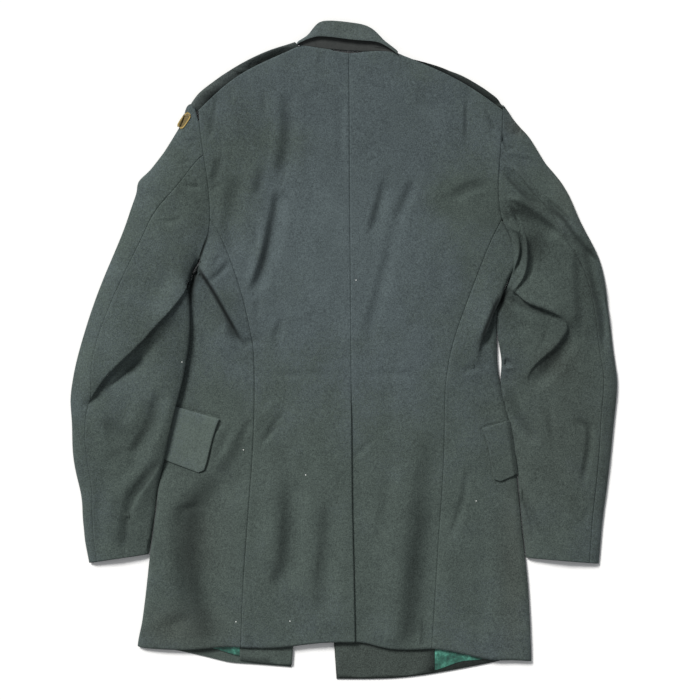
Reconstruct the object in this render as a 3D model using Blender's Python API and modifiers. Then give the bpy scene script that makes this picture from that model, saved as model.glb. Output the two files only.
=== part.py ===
"""Military dress tunic, laid face down on a flat surface with its back uppermost.

Garment sizes are in millimetres: `down` is the distance below the nape along the centre back and
`out` is the distance sideways from the centre-back seam (the wearer's left is negative, right is
positive). `high` is the height above the surface. Every wall is a loft between sections that are
worked out from these tables.
"""
import math

import bmesh
import bpy
from mathutils import Vector

# ---------------------------------------------------------------- driving dimensions (mm)
MM = 0.001
CENTRE_BACK_X = 7.5      # the nape's place in the part's frame, whose origin is mid-garment
NAPE_Y = 399.35
WALL = 2.0               # outer cloth with its interlining
SEAM_GAP = 0.3           # between two pieces that are sewn together
LAYER_GAP = 0.5          # between two layers that lie on each other
FOLD = 3.5               # radius of the cloth's side folds
NECK_HIGH = 10.6         # top of the back along the neck and shoulder seams
BUTTON_LIFT = 4.0        # the fronts rise this much over their buttons
LAPEL_THICK = 2.4
LOOP_LIFT = 3.2          # the shoulder loops lie on their buttons
LOOP_THICK = 2.4
SHOULDER_POINT = 80.0    # down, at the outer end of the shoulder seams
SIDE_SEAM_TOP = 226.0    # down, where the side-back seams leave the armholes
ARMPIT = 282.0           # down, at the foot of the armholes
VENT_TOP = 484.0         # down, where the centre seam opens into the vent
VENT_UNDERLAP = 35.0     # how far the right panel runs on under the left one
VENT_STEP = 2.5          # how much the left panel rises over it
COLLAR_WALL = 1.4

# ---------------------------------------------------------------- edge and seam lines
# down, and how far out each line is there
BODY = [
    # down, left_edge, left_seam, right_seam, right_edge
    (226, -186, -186, 198, 202),
    (250, -190, -170, 189, 214),
    (282, -202, -158, 176, 223),
    (305, -213, -149, 167, 212),
    (330, -226, -142, 158, 201),
    (356, -236, -136, 148, 196),
    (392, -242, -128, 136, 196),
    (428, -244, -127, 129, 197),
    (466, -247, -127, 126, 205),
    (505, -250, -128, 126, 215),
    (545, -253, -130, 125, 219),
    (585, -256, -133, 123, 225),
    (625, -260, -136, 120, 228),
    (669, -267, -139, 117, 233),
    (705, -270, -142, 115, 237),
    (751, -276, -144, 112, 240),
    (813, -283, -146, 108, 242),
]
CENTRE_SEAM = [(0, -1.3), (200, 0), (400, 1.5), (488, 2), (600, 3), (700, 5.3), (800, 7.4)]
# the points that the body and the sleeve share round the back of the armhole
ARMHOLE = [
    # down, left, right, high
    (80, -202, 204, 10.6),
    (108, -199, 203, 12),
    (140, -195, 200, 12),
    (168, -190, 198, 11.5),
    (197, -187, 197, 11),
    (226, -186, 202, 11),
    (245, -188, 212, 10.5),
    (264, -197, 222, 9.5),
    (282, -202, 226, 8),
]
NECK_LINE = [(-65, -7), (0, 4), (56, 0)]      # out, down: the neck seam across the back
SHOULDER_RISE = {-1: 14.0, 1: 9.0}            # how far each shoulder seam bows up

# ---------------------------------------------------------------- the back
BACK_ROWS = [
    # nape, left_neck, right_neck, outer: how far down the row is at the centre, at the two neck
    # points and outside
    (4, -7, 0, 80), (42, 35, 39, 108), (84, 81, 83, 140), (126, 126, 126, 168),
    (170, 170, 170, 197), (212, 212, 212, 226), (250, 250, 250, 250), (286, 286, 286, 286),
    (322, 322, 322, 322), (358, 358, 358, 358), (392, 392, 392, 392), (424, 424, 424, 424),
    (455, 455, 455, 455), (484, 484, 484, 484), (504, 504, 504, 504), (536, 536, 536, 536),
    (570, 570, 570, 570), (606, 606, 606, 606), (642, 642, 642, 642), (678, 678, 678, 678),
    (714, 714, 714, 714), (750, 750, 750, 750), (784, 788, 788, 795),
]
NECK_SHARE = 1 / 3       # how much of the top row is neck and not shoulder
NECK_ROWS = 4            # how many rows it takes for that bend to straighten out
BACK_COLUMNS = 6
BACK_HEM = [
    # out, down: the back hem is a little uneven
    (-283, 792), (-270, 797), (-200, 799), (-120, 797), (-80, 794), (-30, 788), (7, 788),
    (12, 786), (35, 794), (70, 799), (108, 797), (140, 801), (190, 813), (215, 812), (242, 814),
]
BACK_HIGH = [
    # down; how high the back's outer surface is at the centre, and at the side-back seam
    (0, 9.6, 9.6), (40, 12, 11), (100, 13.5, 12), (200, 13, 11), (300, 12.5, 11), (400, 12, 10.5),
    (500, 12, 10.5), (600, 11, 10), (700, 10, 9), (800, 8.5, 8),
]

# ---------------------------------------------------------------- the sides
LEFT_SIDE = [
    # seam, edge: how far down the row is; edge_high; lip: the roll of spare cloth, its out and high
    (226, 282, 8, -194, 0), (250, 294, 8, -200, 2), (286, 310, 8, -194, 5), (322, 335, 8, -181, 8),
    (358, 362, 7, -164, 8), (392, 392, 7, -148, 2.5), (424, 424, 7, -150, 0), (455, 455, 7, -185, 0),
    (484, 484, 7, -190, 0), (504, 504, 7, -190, 0), (536, 536, 7, -190, 0), (570, 570, 7, -192, 0),
    (606, 606, 7, -195, 0), (642, 642, 7, -200, 0), (678, 678, 7, -203, 0), (714, 714, 7, -206, 0),
    (750, 750, 7, -210, 0), (795, 792, 7, -214, 0),
]
RIGHT_SIDE = [
    (226, 282, 8, 212, 0), (250, 294, 11, 208, 0), (286, 310, 12, 203, 1), (322, 335, 12, 192, 3),
    (358, 362, 9, 187, 7), (392, 392, 7, 172, 4), (424, 424, 7, 150, 0), (455, 455, 7, 160, 0),
    (484, 484, 7, 166, 0), (504, 504, 7, 168, 0), (536, 536, 7, 170, 0), (570, 570, 7, 172, 0),
    (606, 606, 7, 174, 0), (642, 642, 7, 174, 0), (678, 678, 7, 174, 0), (714, 714, 7, 174, 0),
    (750, 750, 7, 175, 0), (797, 813, 7, 175, 0),
]
# where each side panel's hidden edge meets the front, under the body
UNDER_SEAM = [
    # down, left, right
    (282, -196, 216), (335, -188, 168), (455, -204, 160), (606, -216, 184), (813, -242, 200),
]

# ---------------------------------------------------------------- the fronts, below the back
LEFT_FRONT = [
    # down, inner: the roll line of the lapel down to its break, and then the front edge
    (4, -60), (80, -52), (160, -42), (240, -31), (330, -19), (440, -22), (560, -46), (700, -66),
    (822, -76),
]
RIGHT_FRONT = [
    (4, 54), (80, 30), (160, 4), (240, -26), (330, -58), (440, -56), (560, -41), (700, -28),
    (838, -18),
]
LEFT_FRONT_HEM = [(-283, 792), (-229, 800), (-192, 808), (-128, 818), (-76, 822)]
RIGHT_FRONT_HEM = [(-18, 838), (55, 838), (93, 834), (160, 822), (200, 814), (242, 814)]
FRONT_ROWS = (80, 120, 160, 200, 240, 282, 335, 392, 455, 504, 570, 606, 678, 750)
FRONT_COLUMNS = 5
HEM_SIDE = {-1: 792, 1: 813}                   # down, at the side folds
FACING_TOP = 745.0
LEFT_FACING_OUT = -147.0
RIGHT_FACING_OUT = 113.0
EDGE_TURN = 2.0                                # the facing stops this far inside the front edge
FACING_HEM_TURN = 2.5
FACING_THICK = 1.5
LINING_WIDE = 66.0
LINING_HEM_TURN = 14.0
LINING_THICK = 1.2

# ---------------------------------------------------------------- the sleeves
LEFT_SLEEVE = [
    # ring; outer fold: out, down; inner fold: how far it is outside the body's edge, down;
    # bow of the ring towards the body; high; tuck: how far the top layer slips down the sleeve
    (1, -217, 84, 0.4, 287, 14, 14, 0), (2, -231, 106, 0.4, 292, 12, 15, 0),
    (3, -249, 136, 0.4, 296, 10, 16, 0), (4, -271, 165, 0.4, 300, 8, 16, 0),
    (5, -288, 195, 0.4, 304, 6, 17, 0), (6, -298, 230, 0.4, 307, 4, 17, 0),
    (7, -313, 267, 0.4, 310, 2, 17, 0), (8, -328, 304, 1, 313, 0, 17, 0),
    (9, -341, 343, -1, 316, 0, 18, 0), (10, -352, 381, -4, 319, 0, 20, 1),
    (11, -364, 421, -7, 322, 0, 23, 7), (12, -372, 462, -10, 325, 0, 23, 15),
    (13, -371, 478, -18, 342, 0, 10, 12), (14, -370, 496, -25, 363, 0, 13, 3),
    (15, -370, 514, -28, 386, 0, 14, 0), (16, -370, 532, -27, 411, 0, 14, 0),
    (17, -368, 551, -24, 437, 0, 14, 0), (18, -364, 570, -19, 463, 0, 13, 0),
    (19, -359, 589, -14, 492, 0, 13, 0), (20, -357, 606, -10, 520, 0, 12, 0),
    (21, -357, 622, -6, 548, 0, 12, 0), (22, -355, 638, 1, 580, 0, 11, 0),
    (23, -354, 653, 1, 612, 0, 10, 0), (24, -351, 668, 1, 643, 0, 9.5, 0),
    (25, -348, 683, 1, 671, 0, 9, 0),
]
RIGHT_SLEEVE = [
    (1, 214, 86, 1, 287, 14, 13, 0), (2, 229, 103, 1, 292, 12, 14, 0),
    (3, 245, 121, 1, 297, 10, 15, 0), (4, 261, 151, 1, 301, 8, 15, 0),
    (5, 277, 168, 1, 305, 6, 16, 0), (6, 292, 190, 1, 309, 4, 16, 0),
    (7, 304, 222, 1, 312, 2, 16, 0), (8, 318, 248, 1, 315, 0, 16, 0),
    (9, 333, 275, 1, 318, 0, 17, 0), (10, 341, 310, 1, 321, 0, 19, 1),
    (11, 344, 343, 1, 324, 0, 22, 7), (12, 348, 370, 1, 328, 0, 21, 15),
    (13, 350, 392, 1, 346, 0, 11, 11), (14, 353, 414, 1, 366, 0, 14, 3),
    (15, 357, 437, 3, 388, 0, 15, 0), (16, 356, 458, 5, 411, 0, 15, 0),
    (17, 354, 480, 1.5, 436, 0, 15, 0), (18, 351, 505, 1.8, 461, 0, 15, 0),
    (19, 349, 530, 4, 488, 0, 14, 0), (20, 346, 556, 4, 517, 0, 14, 0),
    (21, 343, 583, 4, 548, 0, 13, 0), (22, 339, 610, 2, 580, 0, 12, 0),
    (23, 336, 636, 1, 612, 0, 11, 0), (24, 334, 661, 1, 645, 0, 10, 0),
    (25, 332, 684, 1, 676, 0, 9, 0),
]
SLEEVE_RINGS = 26
SLEEVE_EDGE_HIGH = 7.0
CUFF_HIGH = 6.4
ELBOW_SEAM = [(0, 0.297), (4, 0.27), (8, 0.2), (11, 0.12), (15, 0.10), (25, 0.10)]
LEFT_TUCK = (0.35, 0.75)     # where across the sleeve the elbow fold is deepest, and its reach
RIGHT_TUCK = (0.70, 0.50)
SLEEVE_REST = 11.5           # how high the left forearm is where it lies over the body
SLEEVE_RAMP = 24.0

# ---------------------------------------------------------------- collar, loops, flaps, patch
COLLAR = [
    # out; roll, edge: how far down each line is; edge_high
    (-65, -14, -8, 15.5), (-56, -21, -14, 17), (-48, -30, -17, 19), (-40, -38.5, -18.5, 20),
    (-20, -38.5, -16.5, 21), (0, -36, -13.5, 21.5), (19, -33.5, -12, 21), (32, -27, -11.5, 20),
    (45, -15, -8, 18), (60, -3, 4, 16),
]
COLLAR_GAP = 1.0
COLLAR_ROLL = 5.0         # how far the inside of the fold is from the roll line
LEFT_LOOP = [(-72, -8), (-113, 5), (-153, 26), (-185, 48), (-205, 64), (-215, 77), (-203, 79),
             (-187, 92), (-168, 84), (-140, 64), (-104, 45), (-72, 33), (-60, 14)]
RIGHT_LOOP = [(63, 5), (79, 12), (118, 25), (154, 40), (178, 53), (201, 71), (209, 76), (203, 80),
              (190, 94), (170, 88), (140, 77), (106, 63), (76, 50), (58, 30)]
LOOP_BUTTONS = [("left", -84, 14), ("right", 78, 32)]
LEFT_LAPEL = [(-20, 326), (-150, 112), (-126, 82), (-66, 58), (-53, 70), (-31, 240)]
RIGHT_LAPEL = [(-23, 252), (96, 112), (78, 84), (44, 60), (29, 80)]
LEFT_COLLAR_END = [(-60, 8), (-56, 52), (-68, 56), (-118, 76), (-126, 54), (-80, 40)]
RIGHT_COLLAR_END = [(54, 14), (38, 58), (46, 58), (82, 78), (90, 66), (66, 50)]
PATCH_GAP = 0.8
PATCH_THICK = 1.2
FLAP_THICK = 2.0
FLAP_ROWS = (0.0, 0.25, 0.5, 0.75, 0.92, 1.0)
LEFT_FLAP = {"top": ((-174, 491), (-247, 470)), "bottom": ((-200, 563), (-253, 543)),
             "end": (-174, -181, -186, -190, -194, -202)}
RIGHT_FLAP = {"top": ((176, 503), (210, 493)), "bottom": ((198, 575), (221, 565)),
              "end": (176, 183, 187, 189, 192, 201)}
FRONT_BUTTONS = [("1", -39, 335), ("2", -39, 375), ("3", -39, 415), ("4", -39, 455)]
BUTTON_RADIUS = 11.5
BUTTON_THICK = 3.5
LOOP_BUTTON_RADIUS = 7.5
LOOP_BUTTON_THICK = 2.9

COLOURS = {
    "serge": (0.082, 0.105, 0.104, 1.0),
    "melton": (0.045, 0.045, 0.040, 1.0),
    "satin": (0.02, 0.14, 0.10, 1.0),
    "brass": (0.55, 0.38, 0.12, 1.0),
    "patch": (0.16, 0.13, 0.03, 1.0),
}


# ---------------------------------------------------------------- scene, materials and helpers
for old in list(bpy.data.objects):
    bpy.data.objects.remove(old, do_unlink=True)

TUNIC = bpy.data.collections.new("military_dress_tunic")
bpy.context.scene.collection.children.link(TUNIC)


def finish(name, colour, rough, metal=0.0):
    """A Principled material for one piece."""
    material = bpy.data.materials.new(name)
    material.use_nodes = True
    shader = material.node_tree.nodes["Principled BSDF"]
    shader.inputs["Base Color"].default_value = COLOURS[colour]
    shader.inputs["Roughness"].default_value = rough
    shader.inputs["Metallic"].default_value = metal
    return material


def place(out, down, high):
    """Garment millimetres to a point of the part's frame in metres."""
    return Vector(((CENTRE_BACK_X + out) * MM, (NAPE_Y - down) * MM, high * MM))


def lerp(a, b, t):
    return a + (b - a) * t


def smooth(t):
    t = max(0.0, min(1.0, t))
    return t * t * (3 - 2 * t)


def straight(table, at, column=1):
    """Read a column of a table at a value of its first column, in straight lines."""
    if at <= table[0][0]:
        return table[0][column]
    for low, top in zip(table, table[1:]):
        if at <= top[0]:
            return lerp(low[column], top[column], (at - low[0]) / (top[0] - low[0]))
    return table[-1][column]


def curved(table, at, column=1):
    """The same, along a smooth curve through the table's rows."""
    at = max(table[0][0], min(table[-1][0], at))
    last = len(table) - 2
    i = min(last, max(j for j, row in enumerate(table) if row[0] <= at))
    low, top = table[i], table[i + 1]
    before, after = table[max(i - 1, 0)], table[min(i + 2, len(table) - 1)]
    span = top[0] - low[0]
    t = (at - low[0]) / span
    slope_low = (top[column] - before[column]) / max(top[0] - before[0], 1e-9) * span
    slope_top = (after[column] - low[column]) / max(after[0] - low[0], 1e-9) * span
    return (
        (2 * t**3 - 3 * t**2 + 1) * low[column]
        + (t**3 - 2 * t**2 + t) * slope_low
        + (3 * t**2 - 2 * t**3) * top[column]
        + (t**3 - t**2) * slope_top
    )


def add_piece(name, mesh, colour, rough=0.9, metal=0.0):
    mesh.materials.append(finish(name, colour, rough, metal))
    piece = bpy.data.objects.new(name, mesh)
    TUNIC.objects.link(piece)
    return piece


def wall(name, outer, inner, colour="serge"):
    """A closed wall between two grids of points (rows of equal length) on its two sides."""
    rows, columns = len(outer), len(outer[0])
    build = bmesh.new()
    sides = [[[build.verts.new(p) for p in row] for row in grid] for grid in (outer, inner)]
    a, b = sides
    for i in range(rows - 1):
        for j in range(columns - 1):
            build.faces.new((a[i][j], a[i + 1][j], a[i + 1][j + 1], a[i][j + 1]))
            build.faces.new((b[i][j], b[i][j + 1], b[i + 1][j + 1], b[i + 1][j]))
        for j in (0, columns - 1):
            build.faces.new((a[i][j], b[i][j], b[i + 1][j], a[i + 1][j]))
    for j in range(columns - 1):
        for i in (0, rows - 1):
            build.faces.new((a[i][j], a[i][j + 1], b[i][j + 1], b[i][j]))
    bmesh.ops.recalc_face_normals(build, faces=build.faces)
    mesh = bpy.data.meshes.new(name)
    build.to_mesh(mesh)
    build.free()
    return add_piece(name, mesh, colour)


def level_wall(name, rows, thick, colour="serge"):
    """A wall whose rows are (out, down, high) of its upper side; it is `thick` straight down."""
    upper = [[place(*point) for point in row] for row in rows]
    lower = [[place(o, d, h - thick) for o, d, h in row] for row in rows]
    return wall(name, upper, lower, colour)


def centre_seam(down):
    return curved(CENTRE_SEAM, down)


def armhole(down, side):
    return straight(ARMHOLE, down, 1 if side < 0 else 2)


def body_edge(down, side):
    return curved(BODY, down, 1 if side < 0 else 4)


def side_seam(down, side):
    return curved(BODY, down, 2 if side < 0 else 3)


# ---------------------------------------------------------------- the back panels
def back_high(share, down, side):
    """Height of the back's outer surface; the left panel rides up over the vent's underlap."""
    high = lerp(curved(BACK_HIGH, down, 1), curved(BACK_HIGH, down, 2), smooth(share))
    if side < 0:
        near_vent = smooth((down - VENT_TOP + 40) / 40) * smooth(1.6 - share * 2.6)
        high += VENT_STEP * near_vent
    return high


def shoulder_bow(share, side):
    """How far the shoulder seam rises above a straight line from neck to armhole."""
    return SHOULDER_RISE[side] * math.sin(math.pi * share**1.4)


def back_panel(side):
    """One back panel, from the centre seam to the armhole and the side-back seam."""
    rows = []
    for index, (nape, left_neck, right_neck, outer) in enumerate(BACK_ROWS):
        neck = left_neck if side < 0 else right_neck
        at_armhole = outer <= SIDE_SEAM_TOP
        outer_out = armhole(outer, side) if at_armhole else side_seam(outer, side)
        outer_out -= side * SEAM_GAP / 2
        inner_out = centre_seam(nape) + side * SEAM_GAP / 2
        if side > 0 and nape > VENT_TOP:
            inner_out -= VENT_UNDERLAP
        neck_out = lerp(NECK_LINE[0 if side < 0 else 2][0], lerp(inner_out, outer_out, NECK_SHARE),
                        smooth(index / NECK_ROWS))
        row = []
        for column in range(BACK_COLUMNS + 1):
            share = column / BACK_COLUMNS
            if share <= NECK_SHARE:
                out = lerp(inner_out, neck_out, share / NECK_SHARE)
                down = lerp(nape, neck, share / NECK_SHARE)
            else:
                past = (share - NECK_SHARE) / (1 - NECK_SHARE)
                out = lerp(neck_out, outer_out, past)
                bow = shoulder_bow(past, side) * smooth(1 - index / NECK_ROWS)
                down = lerp(neck, outer, past) - bow
            if index == len(BACK_ROWS) - 1:
                down = curved(BACK_HEM, out)
            from_centre = abs(out - centre_seam(down)) / abs(outer_out - centre_seam(down))
            high = back_high(from_centre, lerp(nape, outer, share), side)
            if at_armhole:
                high = lerp(high, straight(ARMHOLE, outer, 3), smooth(share))
            if index == 0:
                high = NECK_HIGH
            row.append((out, down, high))
        rows.append(row)
    return level_wall("back_left" if side < 0 else "back_right", rows, WALL)


# ---------------------------------------------------------------- the side panels
def section_inner(path, thick):
    """The inner side of a section: its outer path moved in by the wall, straight down at its
    first point and straight up at its last."""
    inner = []
    for i, (x, z) in enumerate(path):
        if i == 0:
            inner.append((x, z - thick))
            continue
        if i == len(path) - 1:
            inner.append((x, z + thick))
            continue
        (x0, z0), (x1, z1) = path[i - 1], path[i + 1]
        ax, az = x - x0, z - z0
        bx, bz = x1 - x, z1 - z
        la, lb = math.hypot(ax, az), math.hypot(bx, bz)
        nx, nz = az / la + bz / lb, -ax / la - bx / lb
        length = math.hypot(nx, nz)
        nx, nz = nx / length, nz / length
        half = max(0.5, math.sqrt((1 + (ax * bx + az * bz) / (la * lb)) / 2))
        inner.append((x + nx * thick / half, z + nz * thick / half))
    return inner


def under_seam(down, side):
    return straight(UNDER_SEAM, down, 1 if side < 0 else 2)


def side_sections(side):
    """Each section's outer path as (out, down, high), worked in outward distance so that both
    sides share one direction of travel."""
    table = LEFT_SIDE if side < 0 else RIGHT_SIDE
    sections = []
    for index, (seam_down, edge_down, edge_high, lip, lip_high) in enumerate(table):
        first, last = index == 0, index == len(table) - 1
        seam = abs(side_seam(seam_down, side)) + SEAM_GAP / 2
        edge = abs(body_edge(edge_down, side))
        if first:
            seam, edge = abs(armhole(SIDE_SEAM_TOP, side)), abs(armhole(ARMPIT, side))
        seam_high = back_high(1.0, seam_down, side)
        if first:
            seam_high = straight(ARMHOLE, SIDE_SEAM_TOP, 3)
        active = smooth(lip_high / 5)
        fold = min(FOLD, edge_high / 2)
        even = [lerp(seam, edge - fold, k / 6) for k in range(7)]
        at_lip = [seam, lerp(seam, abs(lip), 0.45), lerp(seam, abs(lip), 0.85), abs(lip),
                  abs(lip) + 3.5, lerp(abs(lip) + 3.5, edge - fold, 0.5), edge - fold]
        outs = [lerp(a, b, active) for a, b in zip(even, at_lip)]
        flat = [lerp(seam_high, edge_high, smooth(k / 6)) for k in range(7)]
        rolled = [seam_high, seam_high + lip_high * 0.5, seam_high + lip_high * 0.95,
                  seam_high + lip_high * 0.8, edge_high + 0.6, edge_high, edge_high]
        highs = [lerp(a, b, active) for a, b in zip(flat, rolled)]
        path = list(zip(outs, highs))
        path += [(edge, edge_high / 2), (edge - fold, 0)]
        under = abs(under_seam(edge_down, side)) + SEAM_GAP / 2
        path += [(lerp(edge - fold, under, 0.5), 0), (under, 0)]
        inner = section_inner(path, WALL)
        shares = [k / 6 for k in range(7)] + [1.0] * 4
        hem_table = BACK_HEM if last else None
        both = []
        for line in (path, inner):
            points = []
            for (x, z), share in zip(line, shares):
                down = lerp(seam_down, edge_down, share)
                out = side * x
                if first and share < 1.0:
                    out = armhole(down, side)
                if hem_table:
                    down = curved(hem_table, out)
                points.append((out, down + (SEAM_GAP if first else 0), z))
            both.append(points)
        sections.append(both)
    return sections


def side_panel(side):
    sections = side_sections(side)
    outer = [[place(*p) for p in section[0]] for section in sections]
    inner = [[place(*p) for p in section[1]] for section in sections]
    return wall("side_left" if side < 0 else "side_right", outer, inner)


# ---------------------------------------------------------------- the fronts and their facings
def front_base(out, down, side):
    """How high the front's lower side is: it rises over buttons, lapels and shoulder loops."""
    over_buttons = smooth((115 - abs(out + 39)) / 60) * smooth((620 - down) / 90)
    base = BUTTON_LIFT * over_buttons
    if side > 0:
        crossed = smooth((60 - (out + 20)) / 40) * smooth((650 - down) / 60)
        crossed *= smooth((down - 180) / 80)
        base += (WALL + LAYER_GAP + 0.3) * crossed
    shoulder = (LOOP_LIFT + LOOP_THICK + LAYER_GAP) * smooth((190 - down) / 80)
    lapel = (LAPEL_THICK + LAYER_GAP) * smooth((360 - down) / 40) * smooth((175 - abs(out)) / 25)
    return max(base, shoulder, lapel)


def front_outer(down, side):
    """The front's outer boundary: the armhole, then its seam to the side panel underneath."""
    if down < ARMPIT:
        return armhole(down, side) - side * SEAM_GAP
    return under_seam(down, side) - side * SEAM_GAP / 2


def front_panel(side):
    inner_line = LEFT_FRONT if side < 0 else RIGHT_FRONT
    hem_table = LEFT_FRONT_HEM if side < 0 else RIGHT_FRONT_HEM
    rows = []
    neck_out, neck_down = NECK_LINE[0 if side < 0 else 2]
    shoulder_out = armhole(SHOULDER_POINT, side) - side * SEAM_GAP
    row = []
    for k in range(FRONT_COLUMNS + 1):
        share = k / FRONT_COLUMNS
        out = lerp(neck_out, shoulder_out, share)
        down = lerp(neck_down, SHOULDER_POINT, share) - shoulder_bow(share, side)
        row.append((out, down, front_base(out, down, side)))
    rows.append(row)
    for row_down in FRONT_ROWS[1:] + (None,):
        row = []
        for k in range(FRONT_COLUMNS + 1):
            share = k / FRONT_COLUMNS
            if row_down is None:
                out = lerp(inner_line[-1][1], front_outer(HEM_SIDE[side], side), share)
                down = curved(hem_table, out)
            else:
                slope = max(0.0, 1 - (row_down - 120) / 160)
                down = row_down - (1 - share) * slope * 80
                inner_out = curved(inner_line, down if share == 0 else row_down - slope * 80)
                out = lerp(inner_out, front_outer(row_down, side), share)
            row.append((out, down, front_base(out, down, side)))
        rows.append(row)
    upper = [[place(o, d, h + WALL) for o, d, h in row] for row in rows]
    lower = [[place(o, d, h) for o, d, h in row] for row in rows]
    return wall("front_left" if side < 0 else "front_right", upper, lower)


def facing_and_lining(side):
    """The strip of facing along the front edge, and the lining beside it, at the hem only."""
    hem_table = LEFT_FRONT_HEM if side < 0 else RIGHT_FRONT_HEM
    inner_line = LEFT_FRONT if side < 0 else RIGHT_FRONT
    limit = LEFT_FACING_OUT if side < 0 else RIGHT_FACING_OUT
    word = "left" if side < 0 else "right"
    strips = (
        ("facing_" + word, None, limit, FACING_HEM_TURN, FACING_THICK, "serge"),
        ("lining_" + word, limit, limit + side * LINING_WIDE, LINING_HEM_TURN, LINING_THICK, "satin"),
    )
    for name, start, stop, turn_up, thick, colour in strips:
        rows = []
        for share_down in (0.0, 0.5, 1.0):
            row = []
            for k in range(5):
                if start is None:
                    out = lerp(inner_line[-1][1] + side * EDGE_TURN, stop, k / 4)
                else:
                    out = lerp(start + side * SEAM_GAP, stop, k / 4)
                hem_down = curved(hem_table, out) - turn_up
                down = lerp(FACING_TOP, hem_down, share_down)
                if start is None and k == 0:
                    out = curved(inner_line, down) + side * EDGE_TURN
                row.append((out, down, WALL + SEAM_GAP + thick))
            rows.append(row)
        level_wall(name, rows, thick, colour)


# ---------------------------------------------------------------- the sleeves
def sleeve_station(table, ring, column):
    read = straight if column in (6, 7) else curved
    return read(table, ring, column)


def sleeve_grid(side):
    """The whole sleeve's outer surface, ring by ring: 9 points over the top from the outer fold
    to the inner fold, one at the inner fold, 6 back underneath, and one at the outer fold."""
    table = LEFT_SLEEVE if side < 0 else RIGHT_SLEEVE
    tuck_at, tuck_reach = LEFT_TUCK if side < 0 else RIGHT_TUCK
    grid = []
    for ring in range(SLEEVE_RINGS):
        cuff = ring / (SLEEVE_RINGS - 1)
        if ring == 0:
            a = Vector((armhole(SHOULDER_POINT, side), SHOULDER_POINT))
            b = Vector((armhole(ARMPIT, side), ARMPIT))
            bow, high, tuck = 0, 0, 0
        else:
            a = Vector((sleeve_station(table, ring, 1), sleeve_station(table, ring, 2)))
            inner_down = sleeve_station(table, ring, 4)
            inner_out = body_edge(inner_down, side) + side * sleeve_station(table, ring, 3)
            b = Vector((inner_out, inner_down))
            bow, high, tuck = (sleeve_station(table, ring, c) for c in (5, 6, 7))
        along = (b - a).normalized()
        across = Vector((-along.y, along.x)) * (1 if side < 0 else -1)
        length = (b - a).length
        seam = straight(ELBOW_SEAM, ring)
        first = [(row[0] - SHOULDER_POINT) / (ARMPIT - SHOULDER_POINT) for row in ARMHOLE]
        even = [0, seam / 2, seam] + [lerp(seam, 1, k / 6) for k in range(1, 7)]
        blend = smooth(ring / 5)
        shares = [lerp(f, e, blend) for f, e in zip(first, even)]
        under = [1 - k / 5 for k in range(6)]
        edge_high = lerp(SLEEVE_EDGE_HIGH, CUFF_HIGH, cuff)
        fold = FOLD if ring else 0.0
        points = []

        def spot(share, inset, shift=0.0):
            if ring == 0:
                down = lerp(SHOULDER_POINT, ARMPIT, share)
                out = armhole(down, side) + side * SEAM_GAP
                return Vector((out, down))
            where = a + along * (inset + (length - 2 * inset) * share)
            bulge = math.sin(math.pi * share)
            return where + across * (shift - bow * bulge)

        def rest_high(spot_point):
            """Underside height: on the surface, or up over the body's side edge."""
            if side > 0 or ring < 1:
                return 0.0
            over = side * -(spot_point.x - body_edge(spot_point.y, side))
            lift = SLEEVE_REST * smooth((ring - 3) / 6) * smooth((22.5 - ring) / 2)
            return lift * smooth((over + SLEEVE_RAMP + 7) / SLEEVE_RAMP)

        for share in shares:
            reach = max(0.0, 1 - abs(share - tuck_at) / tuck_reach) if tuck else 0.0
            where = spot(share, fold, tuck * smooth(reach))
            dome = math.sin(math.pi * min(1, max(0, share))) ** 0.6
            top = lerp(edge_high, high, dome) if ring else straight(ARMHOLE, where.y, 3)
            points.append((where.x, where.y, top + rest_high(where)))
        inner_mid = spot(1, 0)
        points.append((inner_mid.x, inner_mid.y, edge_high / 2 + rest_high(inner_mid)))
        for share in under:
            where = spot(share, fold)
            points.append((where.x, where.y, rest_high(where)))
        outer_mid = spot(0, 0)
        points.append((outer_mid.x, outer_mid.y, edge_high / 2))
        grid.append(points)
    return grid


def sleeve_normals(grid):
    """The way out of the sleeve at each point, from its neighbours along and round it."""
    rings, count = len(grid), len(grid[0])
    vectors = [[Vector(p) for p in ring] for ring in grid]
    middle = [sum(ring, Vector()) / count for ring in vectors]
    normals = []
    for i in range(rings):
        row = []
        for j in range(count):
            round_it = vectors[i][(j + 1) % count] - vectors[i][j - 1]
            along_it = vectors[min(i + 1, rings - 1)][j] - vectors[max(i - 1, 0)][j]
            if i == 0:
                axis = vectors[0][0] - vectors[0][8]
                along_it = Vector((-axis.y, axis.x, 0))
            normal = round_it.cross(along_it).normalized()
            if normal.dot(vectors[i][j] - middle[i]) < 0:
                normal = -normal
            if (j <= 8 and normal.z < 0) or (10 <= j <= 15 and normal.z > 0):
                normal = -normal
            row.append(normal)
        normals.append(row)
    return normals


def sleeve(side):
    """Upper sleeve and under sleeve, parted at the elbow seam and at a seam underneath."""
    word = "left" if side < 0 else "right"
    grid = sleeve_grid(side)
    normals = sleeve_normals(grid)
    elbow, under = 2, 12
    count = len(grid[0])
    pieces = {
        "under_sleeve_" + word: list(range(elbow, under + 1)),
        "upper_sleeve_" + word: [j % count for j in range(under, count + elbow + 1)],
    }
    for name, columns in pieces.items():
        outer, inner = [], []
        for ring, way in zip(grid, normals):
            points = [Vector(ring[j]) for j in columns]
            ways = [way[j] for j in columns]
            points[0] += (points[1] - points[0]).normalized() * SEAM_GAP / 2
            points[-1] += (points[-2] - points[-1]).normalized() * SEAM_GAP / 2
            outer.append([place(*p) for p in points])
            inner.append([place(*(p - n * WALL)) for p, n in zip(points, ways)])
        wall(name, outer, inner)


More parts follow.
